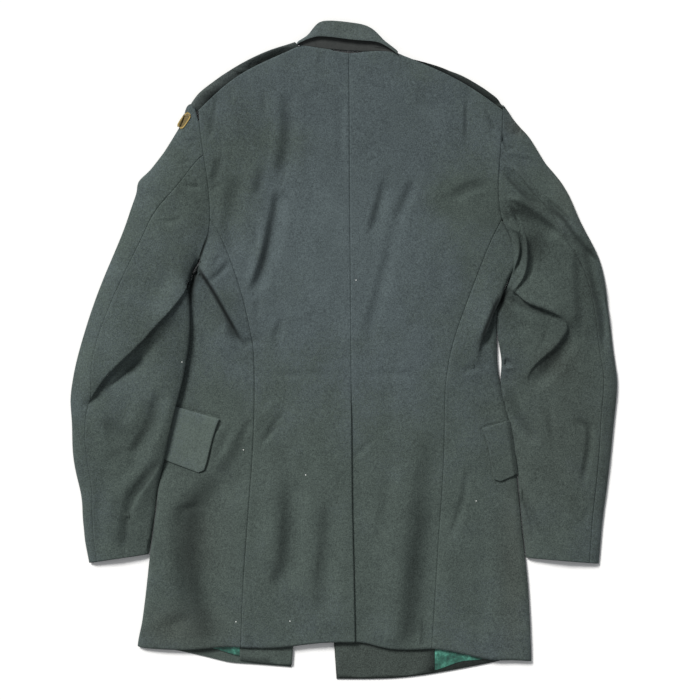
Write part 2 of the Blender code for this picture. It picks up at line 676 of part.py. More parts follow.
# ---------------------------------------------------------------- collar
def collar():
    """Under collar and upper collar: the stand lies back from the neck, and the fall turns over
    it from the roll line, clear of it at its edge."""
    walls = {"under_collar": (0.0, COLLAR_WALL, "melton"),
             "upper_collar": (COLLAR_WALL + SEAM_GAP, 2 * COLLAR_WALL + SEAM_GAP, "serge")}
    stand = NECK_HIGH - SEAM_GAP
    for name, (near, far, colour) in walls.items():
        sides = {near: [], far: []}
        for out, roll, edge, edge_high in COLLAR:
            neck = straight(NECK_LINE, out) - COLLAR_GAP
            turn = roll + COLLAR_ROLL
            path = [(neck, stand), (lerp(neck, turn, 0.4), stand), (lerp(neck, turn, 0.8), stand),
                    (turn, stand + 1.4), (lerp(turn, edge, 0.25), stand + 3.0),
                    (lerp(turn, edge, 0.6), lerp(stand + 3.0, edge_high, 0.5)), (edge, edge_high)]
            for distance in sides:
                moved = section_inner(path, -distance)
                ends = [(neck, stand - distance)] + moved[1:-1] + [(edge, edge_high + distance)]
                sides[distance].append([place(out, down, high) for down, high in ends])
        wall(name, sides[near], sides[far], colour)


# ---------------------------------------------------------------- flat pieces on the surface
def flat_piece(name, outline, low, thick, colour="serge"):
    """A flat outline, filled and extruded, whose lower side is at `low`."""
    curve = bpy.data.curves.new(name, "CURVE")
    curve.dimensions = "2D"
    curve.fill_mode = "BOTH"
    curve.extrude = thick / 2 * MM
    spline = curve.splines.new("POLY")
    spline.points.add(len(outline) - 1)
    for point, (out, down) in zip(spline.points, outline):
        point.co = (*place(out, down, 0)[:2], 0, 1)
    spline.use_cyclic_u = True
    guide = bpy.data.objects.new(name + "_outline", curve)
    guide.location.z = (low + thick / 2) * MM
    TUNIC.objects.link(guide)
    bpy.context.view_layer.update()
    evaluated = guide.evaluated_get(bpy.context.evaluated_depsgraph_get())
    mesh = bpy.data.meshes.new_from_object(evaluated)
    mesh.transform(guide.matrix_world)
    bpy.data.objects.remove(guide, do_unlink=True)
    build = bmesh.new()
    build.from_mesh(mesh)
    bmesh.ops.remove_doubles(build, verts=build.verts, dist=1e-6)
    build.to_mesh(mesh)
    build.free()
    mesh.name = name
    return add_piece(name, mesh, colour)


def button(name, out, down, radius, thick):
    """A domed button, face down: a turned profile with a flat crown that rests on the surface."""
    profile = [(0, 1), (0.86, 1), (1.0, 0.8), (0.93, 0.42), (0.66, 0.1), (0.42, 0), (0, 0)]
    mesh = bpy.data.meshes.new(name)
    verts = [(radius * r * MM, 0, thick * z * MM) for r, z in profile]
    mesh.from_pydata(verts, [(i, i + 1) for i in range(len(verts) - 1)], [])
    piece = add_piece(name, mesh, "brass", rough=0.3, metal=1.0)
    piece.location = place(out, down, 0)
    turn = piece.modifiers.new("turned", "SCREW")
    turn.steps = 20
    turn.render_steps = 20
    turn.use_merge_vertices = True
    turn.merge_threshold = 0.00001
    mesh.shade_smooth()
    mesh.set_sharp_from_angle(angle=math.radians(50))
    return piece


# ---------------------------------------------------------------- pocket flaps on the sides
def between_rows(sections, down):
    """The two sections on either side of a height, and how far it is between them."""
    for low, top in zip(sections, sections[1:]):
        if low[0][0][1] <= down <= top[0][0][1]:
            return low[0], top[0], (down - low[0][0][1]) / (top[0][0][1] - low[0][0][1])
    raise ValueError("no section there")


def row_edge(sections, down):
    low, top, share = between_rows(sections, down)
    return lerp(abs(low[7][0]), abs(top[7][0]), share)


def section_high(sections, out, down):
    """Height of the side panel's outer surface, where its rows are level."""
    low, top, share = between_rows(sections, down)
    highs = []
    for row in (low, top):
        line = [(abs(x), z) for x, _, z in row[:7]]
        highs.append(straight(line, abs(out)))
    return lerp(*highs, share)


def pocket_flap(side):
    """A flap on the side panel, from its free end to the side fold, and down over that fold."""
    sections = side_sections(side)
    flap = LEFT_FLAP if side < 0 else RIGHT_FLAP
    columns = 6
    upper, lower = [], []
    for v, end in zip(FLAP_ROWS, flap["end"]):
        up_row, low_row = [], []
        for k in range(columns + 1):
            share = k / columns
            stop = lerp(flap["top"][1][0], flap["bottom"][1][0], v)
            out = lerp(end, stop, share)
            down_top = lerp(flap["top"][0][1], flap["top"][1][1],
                            (out - flap["top"][0][0]) / (flap["top"][1][0] - flap["top"][0][0]))
            down_bottom = lerp(flap["bottom"][0][1], flap["bottom"][1][1],
                               (out - flap["bottom"][0][0])
                               / (flap["bottom"][1][0] - flap["bottom"][0][0]))
            down = lerp(down_top, down_bottom, v)
            out = side * min(abs(out), row_edge(sections, down) - FOLD)
            high = section_high(sections, out, down)
            low_row.append((out, down, high + LAYER_GAP))
            up_row.append((out, down, high + LAYER_GAP + FLAP_THICK))
        out, down, high = low_row[-1]
        edge = row_edge(sections, down)
        turned = edge + 2 * LAYER_GAP
        low_row.append((side * turned, down, high - LAYER_GAP - FOLD))
        up_row.append((side * (turned + FLAP_THICK), down, high - LAYER_GAP - FOLD))
        upper.append([place(*p) for p in up_row])
        lower.append([place(*p) for p in low_row])
    return wall("pocket_flap_left" if side < 0 else "pocket_flap_right", upper, lower)


# ---------------------------------------------------------------- the shoulder patch
def sleeve_patch():
    """A plain patch near the top of the left sleeve, lapping over its outer fold."""
    grid = sleeve_grid(-1)
    normals = sleeve_normals(grid)
    outer, inner = [], []
    for ring, reach in ((0.45, 0.25), (0.75, 0.8), (1.05, 1.0), (1.35, 0.8), (1.62, 0.25)):
        low, share = int(ring), ring - int(ring)
        row = []
        for j, further in ((16, 0), (0, 0), (1, reach)):
            spot = []
            for index in (low, low + 1):
                here, way = Vector(grid[index][j]), normals[index][j]
                if further:
                    back, back_way = Vector(grid[index][0]), normals[index][0]
                    here = back.lerp(here, further)
                    way = back_way.lerp(way, further).normalized()
                spot.append((here, way))
            here = spot[0][0].lerp(spot[1][0], share)
            way = spot[0][1].lerp(spot[1][1], share).normalized()
            row.append((here, way))
        inner.append([place(*(here + way * PATCH_GAP)) for here, way in row])
        outer.append([place(*(here + way * (PATCH_GAP + PATCH_THICK))) for here, way in row])
    return wall("sleeve_patch", outer, inner, "patch")


# ---------------------------------------------------------------- the tunic
for SIDE in (-1, 1):
    back_panel(SIDE)
    side_panel(SIDE)
    front_panel(SIDE)
    facing_and_lining(SIDE)
    sleeve(SIDE)
    pocket_flap(SIDE)
collar()
sleeve_patch()
flat_piece("shoulder_loop_left", LEFT_LOOP, LOOP_LIFT, LOOP_THICK)
flat_piece("shoulder_loop_right", RIGHT_LOOP, LOOP_LIFT, LOOP_THICK)
flat_piece("lapel_left", LEFT_LAPEL, 0, LAPEL_THICK)
flat_piece("lapel_right", RIGHT_LAPEL, 0, LAPEL_THICK)
flat_piece("collar_end_left", LEFT_COLLAR_END, 0, LAPEL_THICK)
flat_piece("collar_end_right", RIGHT_COLLAR_END, 0, LAPEL_THICK)
for NUMBER, OUT, DOWN in FRONT_BUTTONS:
    button("front_button_" + NUMBER, OUT, DOWN, BUTTON_RADIUS, BUTTON_THICK)
for WORD, OUT, DOWN in LOOP_BUTTONS:
    button("loop_button_" + WORD, OUT, DOWN, LOOP_BUTTON_RADIUS, LOOP_BUTTON_THICK)
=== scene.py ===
# %% [markdown]
# # A military dress tunic, laid face down
# The tunic lies on its front on a flat table, so what shows is its back: two back panels that meet
# at a centre seam and open into a vent, a side panel on each side, two sleeves, the collar folded
# over at the neck, a shoulder loop along each shoulder, the lower pocket flaps that wrap round the
# sides, and a strip of the fronts, their facings and the lining past the back hem.
#
# The solids of the model already have the garment's cut and its largest folds. This lesson makes
# soft cloth from them: each solid is copied, smoothed, creased and given its finish.

# %% Load the model as a fixed frame
import math

import bmesh
import bpy
import numpy as np
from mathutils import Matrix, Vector, kdtree, noise
from mathutils.bvhtree import BVHTree


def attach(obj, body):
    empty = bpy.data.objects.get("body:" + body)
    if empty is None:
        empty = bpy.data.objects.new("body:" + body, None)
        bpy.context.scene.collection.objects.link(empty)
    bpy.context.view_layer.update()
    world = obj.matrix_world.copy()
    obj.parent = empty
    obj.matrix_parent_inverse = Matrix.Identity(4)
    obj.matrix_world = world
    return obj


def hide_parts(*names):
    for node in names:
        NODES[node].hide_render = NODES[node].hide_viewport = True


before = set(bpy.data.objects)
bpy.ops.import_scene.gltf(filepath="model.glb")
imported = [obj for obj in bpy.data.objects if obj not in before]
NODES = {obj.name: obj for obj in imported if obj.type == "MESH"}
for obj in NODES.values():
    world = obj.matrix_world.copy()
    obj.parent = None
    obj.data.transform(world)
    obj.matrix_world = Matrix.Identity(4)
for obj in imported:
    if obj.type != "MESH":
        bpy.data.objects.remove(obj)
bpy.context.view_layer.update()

# %% [markdown]
# ## Measures
# A tailor measures from the nape, so places on the tunic are given here as `out`, the distance
# sideways from the centre-back seam (the wearer's left is negative), and `down`, the distance
# below the nape, both in millimetres.

# %% Garment measures to metres
MM = 0.001
CENTRE_BACK_X = 7.5
NAPE_Y = 399.35


def place(out, down):
    """A point of the garment, in metres in the model's frame."""
    return (CENTRE_BACK_X + out) * MM, (NAPE_Y - down) * MM


print("the nape is at", place(0, 0))

# %% [markdown]
# ## Camera, light and table
# Flat garments are shown from straight above with a long lens, so that the near parts don't look
# larger than the hem. One soft light comes from the top left, which draws the creases that run
# across it, and a pale surrounding light fills the shadows.

# %% Camera
camera_data = bpy.data.cameras.new("overhead_camera")
camera_data.lens = 100
camera_data.sensor_width = 36
camera = bpy.data.objects.new("overhead_camera", camera_data)
camera.location = (CENTRE_BACK_X * MM, 0.0004, 2.598)
bpy.context.scene.collection.objects.link(camera)
bpy.context.scene.camera = camera
print("camera", camera_data.lens, "mm,", round(camera.location.z, 2), "m up")

# %% Light
world = bpy.data.worlds.new("pale_studio")
world.use_nodes = True
world.node_tree.nodes["Background"].inputs["Color"].default_value = (0.96, 0.98, 1.0, 1.0)
world.node_tree.nodes["Background"].inputs["Strength"].default_value = 0.36
bpy.context.scene.world = world

key_data = bpy.data.lights.new("soft_key", "SUN")
key_data.energy = 4.1
key_data.angle = math.radians(20)
key_data.color = (1.0, 0.985, 0.96)
key = bpy.data.objects.new("soft_key", key_data)
key.rotation_euler = Vector((-0.46, 0.55, 0.60)).to_track_quat("Z", "Y").to_euler()
bpy.context.scene.collection.objects.link(key)

bpy.context.scene.view_settings.view_transform = "Standard"
print("a sun of strength", round(key_data.energy, 2))

# %% Table
bpy.ops.object.select_all(action="DESELECT")
bpy.ops.mesh.primitive_plane_add(size=6, location=(0, 0, -0.0003))
table = bpy.context.object
table.name = "table"
paper = bpy.data.materials.new("white_paper")
paper.use_nodes = True
for socket, value in (("Base Color", (0.9, 0.9, 0.9, 1)), ("Roughness", 0.95),
                      ("Specular IOR Level", 0.1)):
    paper.node_tree.nodes["Principled BSDF"].inputs[socket].default_value = value
table.data.materials.append(paper)
print("the table is covered with", paper.name)

# %% [markdown]
# ## Finishes
# The tunic is cut from a worsted serge: a dense twill with a short nap, dyed a dull grey-green
# that looks bluer or greener from place to place. Noise of several sizes carries that colour, from
# single fibres to broad patches, a fine diagonal wave is the twill, and both raise the surface a
# little. All of it reads Object coordinates, so no UV map is needed and nothing slides.
#
# Every finish here is made of the same few nodes, so a small class adds them by name.

# %% A helper that makes a material and its nodes


class Finish:
    """A material being built: each method adds a node and returns its output."""

    def __init__(self, name):
        self.material = bpy.data.materials.new(name)
        self.material.use_nodes = True
        self.nodes = self.material.node_tree.nodes
        self.links = self.material.node_tree.links
        self.shader = self.nodes["Principled BSDF"]
        self.place = self.nodes.new("ShaderNodeTexCoord").outputs["Object"]

    def set(self, **values):
        for name, value in values.items():
            self.shader.inputs[name.replace("_", " ")].default_value = value

    def noise(self, scale, detail=3.0, rough=0.6):
        node = self.nodes.new("ShaderNodeTexNoise")
        node.inputs["Scale"].default_value = scale
        node.inputs["Detail"].default_value = detail
        node.inputs["Roughness"].default_value = rough
        self.links.new(self.place, node.inputs["Vector"])
        return node.outputs["Fac"]

    def bands(self, pitch, angle, wobble=0.4):
        """Parallel ridges `pitch` metres apart, turned by `angle` degrees."""
        mapping = self.nodes.new("ShaderNodeMapping")
        mapping.inputs["Rotation"].default_value = (0, 0, math.radians(angle))
        self.links.new(self.place, mapping.inputs["Vector"])
        node = self.nodes.new("ShaderNodeTexWave")
        node.inputs["Scale"].default_value = 2 * math.pi / (20 * pitch)
        node.inputs["Distortion"].default_value = wobble
        node.inputs["Detail Scale"].default_value = 3.0
        self.links.new(mapping.outputs["Vector"], node.inputs["Vector"])
        return node.outputs["Fac"]

    def sums(self, *terms):
        """Adds up each output times its weight, less half that weight, so noise stays centred."""
        total = None
        for output, weight in terms:
            node = self.nodes.new("ShaderNodeMath")
            node.operation = "MULTIPLY_ADD"
            node.inputs[1].default_value = weight
            node.inputs[2].default_value = -weight / 2
            self.links.new(output, node.inputs[0])
            if total is None:
                total = node.outputs[0]
                continue
            add = self.nodes.new("ShaderNodeMath")
            add.operation = "ADD"
            self.links.new(total, add.inputs[0])
            self.links.new(node.outputs[0], add.inputs[1])
            total = add.outputs[0]
        return total

    def ramp(self, value, *stops):
        """Colours by position, for a value round 0 that is first moved to round 0.5."""
        add = self.nodes.new("ShaderNodeMath")
        add.operation = "ADD"
        add.inputs[1].default_value = 0.5
        self.links.new(value, add.inputs[0])
        node = self.nodes.new("ShaderNodeValToRGB")
        elements = node.color_ramp.elements
        while len(elements) < len(stops):
            elements.new(0.5)
        for element, (position, colour) in zip(elements, stops):
            element.position = position
            element.color = (*colour, 1.0)
        self.links.new(add.outputs[0], node.inputs["Fac"])
        return node.outputs["Color"]

    def mix(self, factor, a, b, kind="MIX"):
        node = self.nodes.new("ShaderNodeMix")
        node.data_type = "RGBA"
        node.blend_type = kind
        for socket, value in ((node.inputs[0], factor), (node.inputs[6], a), (node.inputs[7], b)):
            if isinstance(value, bpy.types.NodeSocket):
                self.links.new(value, socket)
            else:
                socket.default_value = value
        return node.outputs[2]

    def colour(self, output):
        self.links.new(output, self.shader.inputs["Base Color"])

    def bump(self, height, depth, strength=1.0):
        node = self.nodes.new("ShaderNodeBump")
        node.inputs["Strength"].default_value = strength
        node.inputs["Distance"].default_value = depth
        self.links.new(height, node.inputs["Height"])
        self.links.new(node.outputs["Normal"], self.shader.inputs["Normal"])

    def spots(self, places, radius):
        """A mask of small round spots at the given places on the garment."""
        flat = self.nodes.new("ShaderNodeVectorMath")
        flat.operation = "MULTIPLY"
        flat.inputs[1].default_value = (1, 1, 0)
        self.links.new(self.place, flat.inputs[0])
        masks = []
        for out, down in places:
            far = self.nodes.new("ShaderNodeVectorMath")
            far.operation = "DISTANCE"
            far.inputs[1].default_value = (*place(out, down), 0)
            self.links.new(flat.outputs[0], far.inputs[0])
            masks.append(self.math("LESS_THAN", far.outputs["Value"], radius))
        while len(masks) > 1:
            masks.append(self.math("MAXIMUM", masks.pop(0), masks.pop(0)))
        return masks[0]

    def math(self, operation, a, b):
        node = self.nodes.new("ShaderNodeMath")
        node.operation = operation
        for socket, value in zip(node.inputs, (a, b)):
            if isinstance(value, bpy.types.NodeSocket):
                self.links.new(value, socket)
            else:
                socket.default_value = value
        return node.outputs[0]

    def painted(self, name):
        """A value painted on the piece's points."""
        node = self.nodes.new("ShaderNodeAttribute")
        node.attribute_name = name
        return node.outputs["Fac"]


print("a Finish can", [name for name in vars(Finish) if not name.startswith("_")])

# %% [markdown]
# ### Serge
# Four amounts are painted on the points of each panel later on: how much bluer and browner the
# cloth is there, from uneven dye and soiling; how much lighter or darker, which is painted light
# and shade; and how much painted shade darkens the bottom of a fold. The serge mixes its colours by
# them. A few specks of white lint lie at fixed places.

# %% Wool serge
SERGE_BLUE = (0.061, 0.079, 0.084)
SERGE_GREEN = (0.056, 0.074, 0.067)
WORN_BROWN = (0.064, 0.063, 0.052, 1)
# near black: the painted shade at the bottoms of folds and beside the shoulder loops
FOLD_SHADE = (0.004, 0.006, 0.006, 1)
LINT_WHITE = (0.75, 0.76, 0.74, 1)
LINT_RADIUS = 0.0007
LINT = [(-142, 532), (-80, 760), (-152, 761), (-223, 415), (8, 306), (-59, 565), (168, 600)]


def serge():
    """Wool serge that wanders from bluer to greener and browner, with painted light and shade, and
    painted shade in the bottoms of folds.
    """
    wool = Finish("wool_serge")
    fibres = wool.noise(620, 2.0, 0.7)
    twill = wool.bands(0.0013, 58)
    tint = wool.ramp(wool.sums((wool.noise(560, 2.0), 1.4), (wool.noise(16, 3.0), 1.2),
                               (wool.painted("blueness"), 2.0)),
                     (0.2, SERGE_GREEN), (0.8, SERGE_BLUE))
    cloth = wool.mix(wool.painted("brownness"), tint, WORN_BROWN)
    # the painted lightness is painted light and shade: paler where the cloth faces the light,
    # darker in broad hollows
    value = wool.sums((fibres, 1.5), (wool.noise(240, 2.0), 0.45), (wool.noise(34, 3.0), 0.35),
                      (twill, 0.15), (wool.painted("lightness"), 2.0))
    shade = wool.ramp(value, (0.0, (0.38, 0.38, 0.38)), (0.5, (1, 1, 1)), (1.0, (1.75, 1.72, 1.68)))
    cloth = wool.mix(1.0, cloth, shade, "MULTIPLY")
    # painted shade: where the depth is painted, the cloth is mixed towards near black
    cloth = wool.mix(wool.painted("depth"), cloth, FOLD_SHADE)
    wool.colour(wool.mix(wool.spots(LINT, LINT_RADIUS), cloth, LINT_WHITE))
    wool.bump(wool.sums((fibres, 0.7), (twill, 0.5), (wool.noise(150, 3.0), 0.8)), 0.0006, 0.6)
    wool.set(Roughness=0.9, Specular_IOR_Level=0.15, Sheen_Weight=0.08, Sheen_Roughness=0.5)
    wool.shader.inputs["Sheen Tint"].default_value = (0.75, 0.85, 0.85, 1)
    return wool.material


SERGE = serge()
print(SERGE.name, "has", len(SERGE.node_tree.nodes), "nodes, and", len(LINT), "specks of lint")

# %% [markdown]
# ### Melton, satin, embroidery and brass
# The under collar is melton, a felted wool with no weave to see, darker than the serge. The lining
# is a sea-green satin: smooth, with a soft shine and small rumples. The patch is embroidery: rows
# of thread in a dark olive field, with a gold border that is painted on its points. The buttons
# are brass, a little worn.

# %% Melton


def melton():
    felt = Finish("wool_melton")
    value = felt.sums((felt.noise(900, 3.0, 0.8), 0.9), (felt.noise(120, 3.0), 0.5))
    felt.colour(felt.ramp(value, (0.2, (0.022, 0.025, 0.025)), (0.8, (0.050, 0.054, 0.052))))
    felt.bump(value, 0.0004, 0.5)
    felt.set(Roughness=0.95, Specular_IOR_Level=0.2, Sheen_Weight=0.15)
    return felt.material


MELTON = melton()
print("made", MELTON.name)

# %% Satin


def satin():
    lining = Finish("satin_lining")
    value = lining.sums((lining.noise(190, 3.0), 0.9), (lining.noise(60, 2.0), 0.8))
    lining.colour(lining.ramp(value, (0.2, (0.008, 0.045, 0.034)), (0.5, (0.022, 0.115, 0.083)),
                              (0.8, (0.10, 0.36, 0.27))))
    lining.bump(value, 0.0016, 0.7)
    lining.set(Roughness=0.38, Specular_IOR_Level=0.55, Sheen_Weight=0.2)
    return lining.material


SATIN = satin()
print("made", SATIN.name)

# %% Embroidery


def embroidery():
    """Rows of thread: a dark olive field, and gold where the border is painted."""
    thread = Finish("patch_embroidery")
    rows = thread.sums((thread.bands(0.0009, 90, 0.2), 0.9), (thread.noise(420, 2.0), 0.6))
    field = thread.ramp(rows, (0.2, (0.07, 0.05, 0.012)), (0.8, (0.22, 0.155, 0.04)))
    gold = thread.ramp(rows, (0.2, (0.30, 0.20, 0.045)), (0.8, (0.66, 0.48, 0.15)))
    thread.colour(thread.mix(thread.painted("border"), field, gold))
    thread.bump(rows, 0.0005, 0.8)
    thread.set(Roughness=0.55, Specular_IOR_Level=0.5, Sheen_Weight=0.3)
    return thread.material


PATCH = embroidery()
print("made", PATCH.name)

# %% Brass


def brass():
    metal = Finish("brass_gilt")
    wear = metal.sums((metal.noise(240, 4.0), 0.8), (metal.noise(60, 2.0), 0.4))
    metal.colour(metal.ramp(wear, (0.2, (0.34, 0.21, 0.06)), (0.8, (0.78, 0.56, 0.22))))
    metal.bump(wear, 0.0001, 0.4)
    metal.set(Metallic=1.0, Roughness=0.32)
    return metal.material


BRASS = brass()
print("made", BRASS.name)

# %% [markdown]
# ## From solid to soft cloth
# A panel's solid is a closed wall, 1 to 3 mm thick, made of large flat faces. A copy is merged,
# its triangles are joined to quads, and a Subdivision Surface modifier turns it into smooth cloth.
# The edges of the wall are kept sharp, or the panel would shrink away from its seams.
#
# A cloth that lies on another must be creased only in its top layer, because what touches the
# table stays flat. Each point is therefore given a `lay` value: 0 near the lowest layer below it,
# and 1 on top. The top layer of a sleeve or a side panel is split once more where its faces are
# long, because its creases are fine.

# %% Which layer a point lies in
LAY_CELL = 0.005
LAY_START = 0.0026
LAY_RISE = 0.0024


def solid_tree(node):
    data = NODES[node].data
    data.calc_loop_triangles()
    return BVHTree.FromPolygons([v.co for v in data.vertices],
                                [tuple(t.vertices) for t in data.loop_triangles])


def lay_of(points, tube):
    """0 in the layer that lies lowest, 1 in a layer well above it. `tube` names its solids."""
    trees = [solid_tree(node) for node in tube]
    cells = np.round(points[:, :2] / LAY_CELL).astype(int)
    floor = {}
    for cell in set(map(tuple, cells)):
        start = Vector((cell[0] * LAY_CELL, cell[1] * LAY_CELL, -0.01))
        hits = [tree.ray_cast(start, Vector((0, 0, 1)))[0] for tree in trees]
        floor[cell] = min([hit.z for hit in hits if hit], default=0.0)
    base = np.array([floor[cell] for cell in map(tuple, cells)])
    return np.clip((points[:, 2] - base - LAY_START) / LAY_RISE, 0, 1)


print("layers are told apart from", LAY_START * 1000, "mm above the lowest")

# %% Copy a solid as smooth cloth
RIM_ANGLE = math.radians(72)
CORNER_ANGLE = math.radians(28)
LONG_EDGE = 0.0026


def smooth_cloth(node, levels, tube=()):
    """A merged, subdivided copy of a CAD node."""
    data = NODES[node].data
    data.calc_loop_triangles()
    build = bmesh.new()
    verts = [build.verts.new(v.co) for v in data.vertices]
    for triangle in data.loop_triangles:
        build.faces.new([verts[i] for i in triangle.vertices])
    bmesh.ops.remove_doubles(build, verts=build.verts, dist=1e-6)
    bmesh.ops.join_triangles(build, faces=build.faces, angle_face_threshold=math.radians(60),
                             angle_shape_threshold=math.pi, topology_influence=1.0)
    crease = build.edges.layers.float.new("crease_edge")
    rim = build.verts.layers.float.new("rim")
    for edge in build.edges:
        up_and_down = abs(edge.verts[0].co.z - edge.verts[1].co.z) > 0.8 * edge.calc_length()
        limit = CORNER_ANGLE if up_and_down else RIM_ANGLE
        if len(edge.link_faces) == 2 and edge.calc_face_angle() > limit:
            edge[crease] = 1.0
            for vert in edge.verts:
                vert[rim] = 1.0
    mesh = bpy.data.meshes.new("cloth_" + node)
    build.to_mesh(mesh)
    build.free()
    cloth = bpy.data.objects.new("cloth_" + node, mesh)
    bpy.context.scene.collection.objects.link(cloth)
    bpy.ops.object.select_all(action="DESELECT")
    bpy.context.view_layer.objects.active = cloth
    cloth.select_set(True)
    modifier = cloth.modifiers.new("smooth", "SUBSURF")
    modifier.levels = levels
    modifier.render_levels = levels
    bpy.ops.object.modifier_apply(modifier=modifier.name)
    if tube:
        build = bmesh.new()
        build.from_mesh(mesh)
        lay = lay_of(np.array([v.co for v in build.verts]), tube)
        build.verts.ensure_lookup_table()
        long_edges = [e for e in build.edges if e.calc_length() > LONG_EDGE
                      and min(lay[e.verts[0].index], lay[e.verts[1].index]) > 0.2]
        bmesh.ops.subdivide_edges(build, edges=long_edges, cuts=1, use_grid_fill=True)
        build.to_mesh(mesh)
        build.free()
    mesh.shade_smooth()
    return cloth


print("edges steeper than", round(math.degrees(RIM_ANGLE)), "degrees stay sharp")

# %% Read and paint a mesh's points


def read(mesh, name):
    values = np.zeros(len(mesh.vertices), np.float32)
    mesh.attributes[name].data.foreach_get("value", values)
    return values.astype(float)


def read_points(mesh):
    points = np.zeros(len(mesh.vertices) * 3, np.float32)
    mesh.vertices.foreach_get("co", points)
    return points.reshape(-1, 3).astype(float)


def paint(mesh, name, values):
    layer = mesh.attributes.new(name, "FLOAT", "POINT")
    layer.data.foreach_set("value", values.astype(np.float32))


print("the left back's solid has", len(read_points(NODES["back_left"].data)), "points")

# %% [markdown]
# ## Creases
# A crease is a soft trough or ridge along a line. Each one is a row: how far it rises (less than 0
# sinks), how wide it is on its left and on its right as you look along it, and its points as (out,
# down, strength). The widths differ, because a real crease is steep on one side, and the strength
# changes along it, because a real crease comes and goes. They are given one by one: a simulation
# would crease the cloth too, but not where this tunic is creased.

# %% A smooth line, and the distance to it
LINE_STEP = 3.0
TAPER = 24.0


def ease(t):
    t = np.clip(t, 0, 1)
    return t * t * (3 - 2 * t)


def along(points):
    """Points (out, down, strength) turned to a smooth line, in mm, with its strengths."""
    rows = np.array([(p[0], p[1], p[2] if len(p) > 2 else 1.0) for p in points], float)
    padded = np.vstack([2 * rows[0] - rows[1], rows, 2 * rows[-1] - rows[-2]])
    line = []
    for i in range(1, len(padded) - 2):
        a, b, c, d = padded[i - 1:i + 3]
        count = max(2, int(np.hypot(*(c - b)[:2]) / LINE_STEP))
        for t in np.arange(count) / count:
            line.append(0.5 * (2 * b + (c - a) * t + (2 * a - 5 * b + 4 * c - d) * t**2
                               + (3 * b - 3 * c + d - a) * t**3))
    line.append(rows[-1])
    return np.array(line)


def near_line(flat, line):
    """For each (out, down) point: distance to the line, positive on its left; and its strength."""
    spots, strength = line[:, :2], line[:, 2]
    ways = np.gradient(spots, axis=0)
    ways /= np.hypot(*ways.T)[:, None] + 1e-9
    index = ((flat[:, None, :] - spots[None]) ** 2).sum(2).argmin(1)
    gap = flat - spots[index]
    way = ways[index]
    # `down` grows towards the hem, so the left-hand side is at (way_down, -way_out)
    side = gap[:, 0] * way[:, 1] - gap[:, 1] * way[:, 0]
    past = np.maximum(np.abs((gap * way).sum(1)) - LINE_STEP, 0)
    lengths = np.concatenate([[0], np.cumsum(np.hypot(*np.diff(spots, axis=0).T))])
    end = np.minimum(lengths, lengths[-1] - lengths)
    taper = ease(0.25 + end / min(TAPER, 0.35 * lengths[-1] + 1))
    return np.hypot(side, past) * np.sign(side), strength[index] * taper[index], ways[index]


def garment(points):
    """Model metres to (out, down) in mm."""
    return np.column_stack([points[:, 0] / MM - CENTRE_BACK_X, NAPE_Y - points[:, 1] / MM])


print("a crease line of", len(along([(0, 0), (10, 40, 0.5), (0, 90)])), "points")

# %% Troughs and ridges
BATCH = 20000


def near_box(flat, line, reach):
    """Which (out, down) points are within `reach` mm of the box round a line."""
    low, high = line[:, :2].min(0) - reach, line[:, :2].max(0) + reach
    return ((flat > low) & (flat < high)).all(1)


def cross_section(flat, line, left, right):
    """A soft bump across the line, 1 on it and 0 past its widths, and the line's strength."""
    distance, strength, _ = near_line(flat, line)
    wide = np.where(distance > 0, left, right)
    return 0.5 + 0.5 * np.cos(np.pi * np.clip(np.abs(distance) / wide, 0, 1)), strength


def crease(points, lay, rows, press=1.0):
    """Raises or sinks the cloth by each row's soft trough or ridge, `press` times as much."""
    flat = garment(points)
    for rise, left, right, *line in rows:
        line = along(line)
        near = np.flatnonzero(near_box(flat, line, max(left, right)) & (lay > 0.02))
        if not len(near):
            continue
        for part in np.array_split(near, len(near) // BATCH + 1):
            bump, strength = cross_section(flat[part], line, left, right)
            points[part, 2] += press * rise * MM * bump * strength * lay[part]


trial = np.array([(*place(0, 400), 0.0)])
crease(trial, np.ones(1), [(-2, 5, 5, (0, 300), (0, 500))])
print("a 2 mm trough sinks its middle", round(-trial[0, 2] / MM, 2), "mm")

# %% [markdown]
# The spare cloth below an armpit, and the cloth at an elbow, roll over instead of sinking. Such a
# fold swells on its left, is pushed to the right past its own foot, and has a hollow below it.

# %% Folds that hang over


def overhang(points, lay, rows):
    """Rolls the cloth on a line's left over a hollow on its right."""
    flat = garment(points)
    for swell, swell_wide, sink, sink_wide, push, *line in rows:
        line = along(line)
        near = np.flatnonzero(near_box(flat, line, max(swell_wide, sink_wide)) & (lay > 0.02))
        if not len(near):
            continue
        distance, strength, way = near_line(flat[near], line)
        weight = strength * lay[near]
        up = np.exp(-(distance / swell_wide) ** 2) * ease((distance + 1.5) / 5.0)
        down = np.exp(-(distance / sink_wide) ** 2) * ease((1.5 - distance) / 4.0)
        points[near, 2] += (swell * up - sink * down) * MM * weight
        over = np.exp(-(np.maximum(distance, 0) / (0.8 * swell_wide)) ** 2)
        pushed = push * MM * over * ease((distance + 1.0) / 3.0) * weight
        points[near, 0] -= pushed * way[:, 1]
        points[near, 1] -= pushed * way[:, 0]


trial = np.array([(*place(3, 400), 0.0)])
overhang(trial, np.ones(1), [(2.0, 14, 4.0, 9, 5, (0, 300), (0, 500))])
print("3 mm beside a fold, cloth rises", round(trial[0, 2] / MM, 2), "mm and moves sideways by",
      round((trial[0, 0] - place(3, 400)[0]) / MM, 2))

# %% [markdown]
# Two things happen all over a panel. The stitches draw its edges down, which is what makes a seam
# show as a line, and cloth that has been worn is never quite even.

# %% Seams, and the slow unevenness of worn cloth
SEAM_DROP, SEAM_WIDE = 0.3, 3.0
RUMPLE_HEIGHT = 1.3


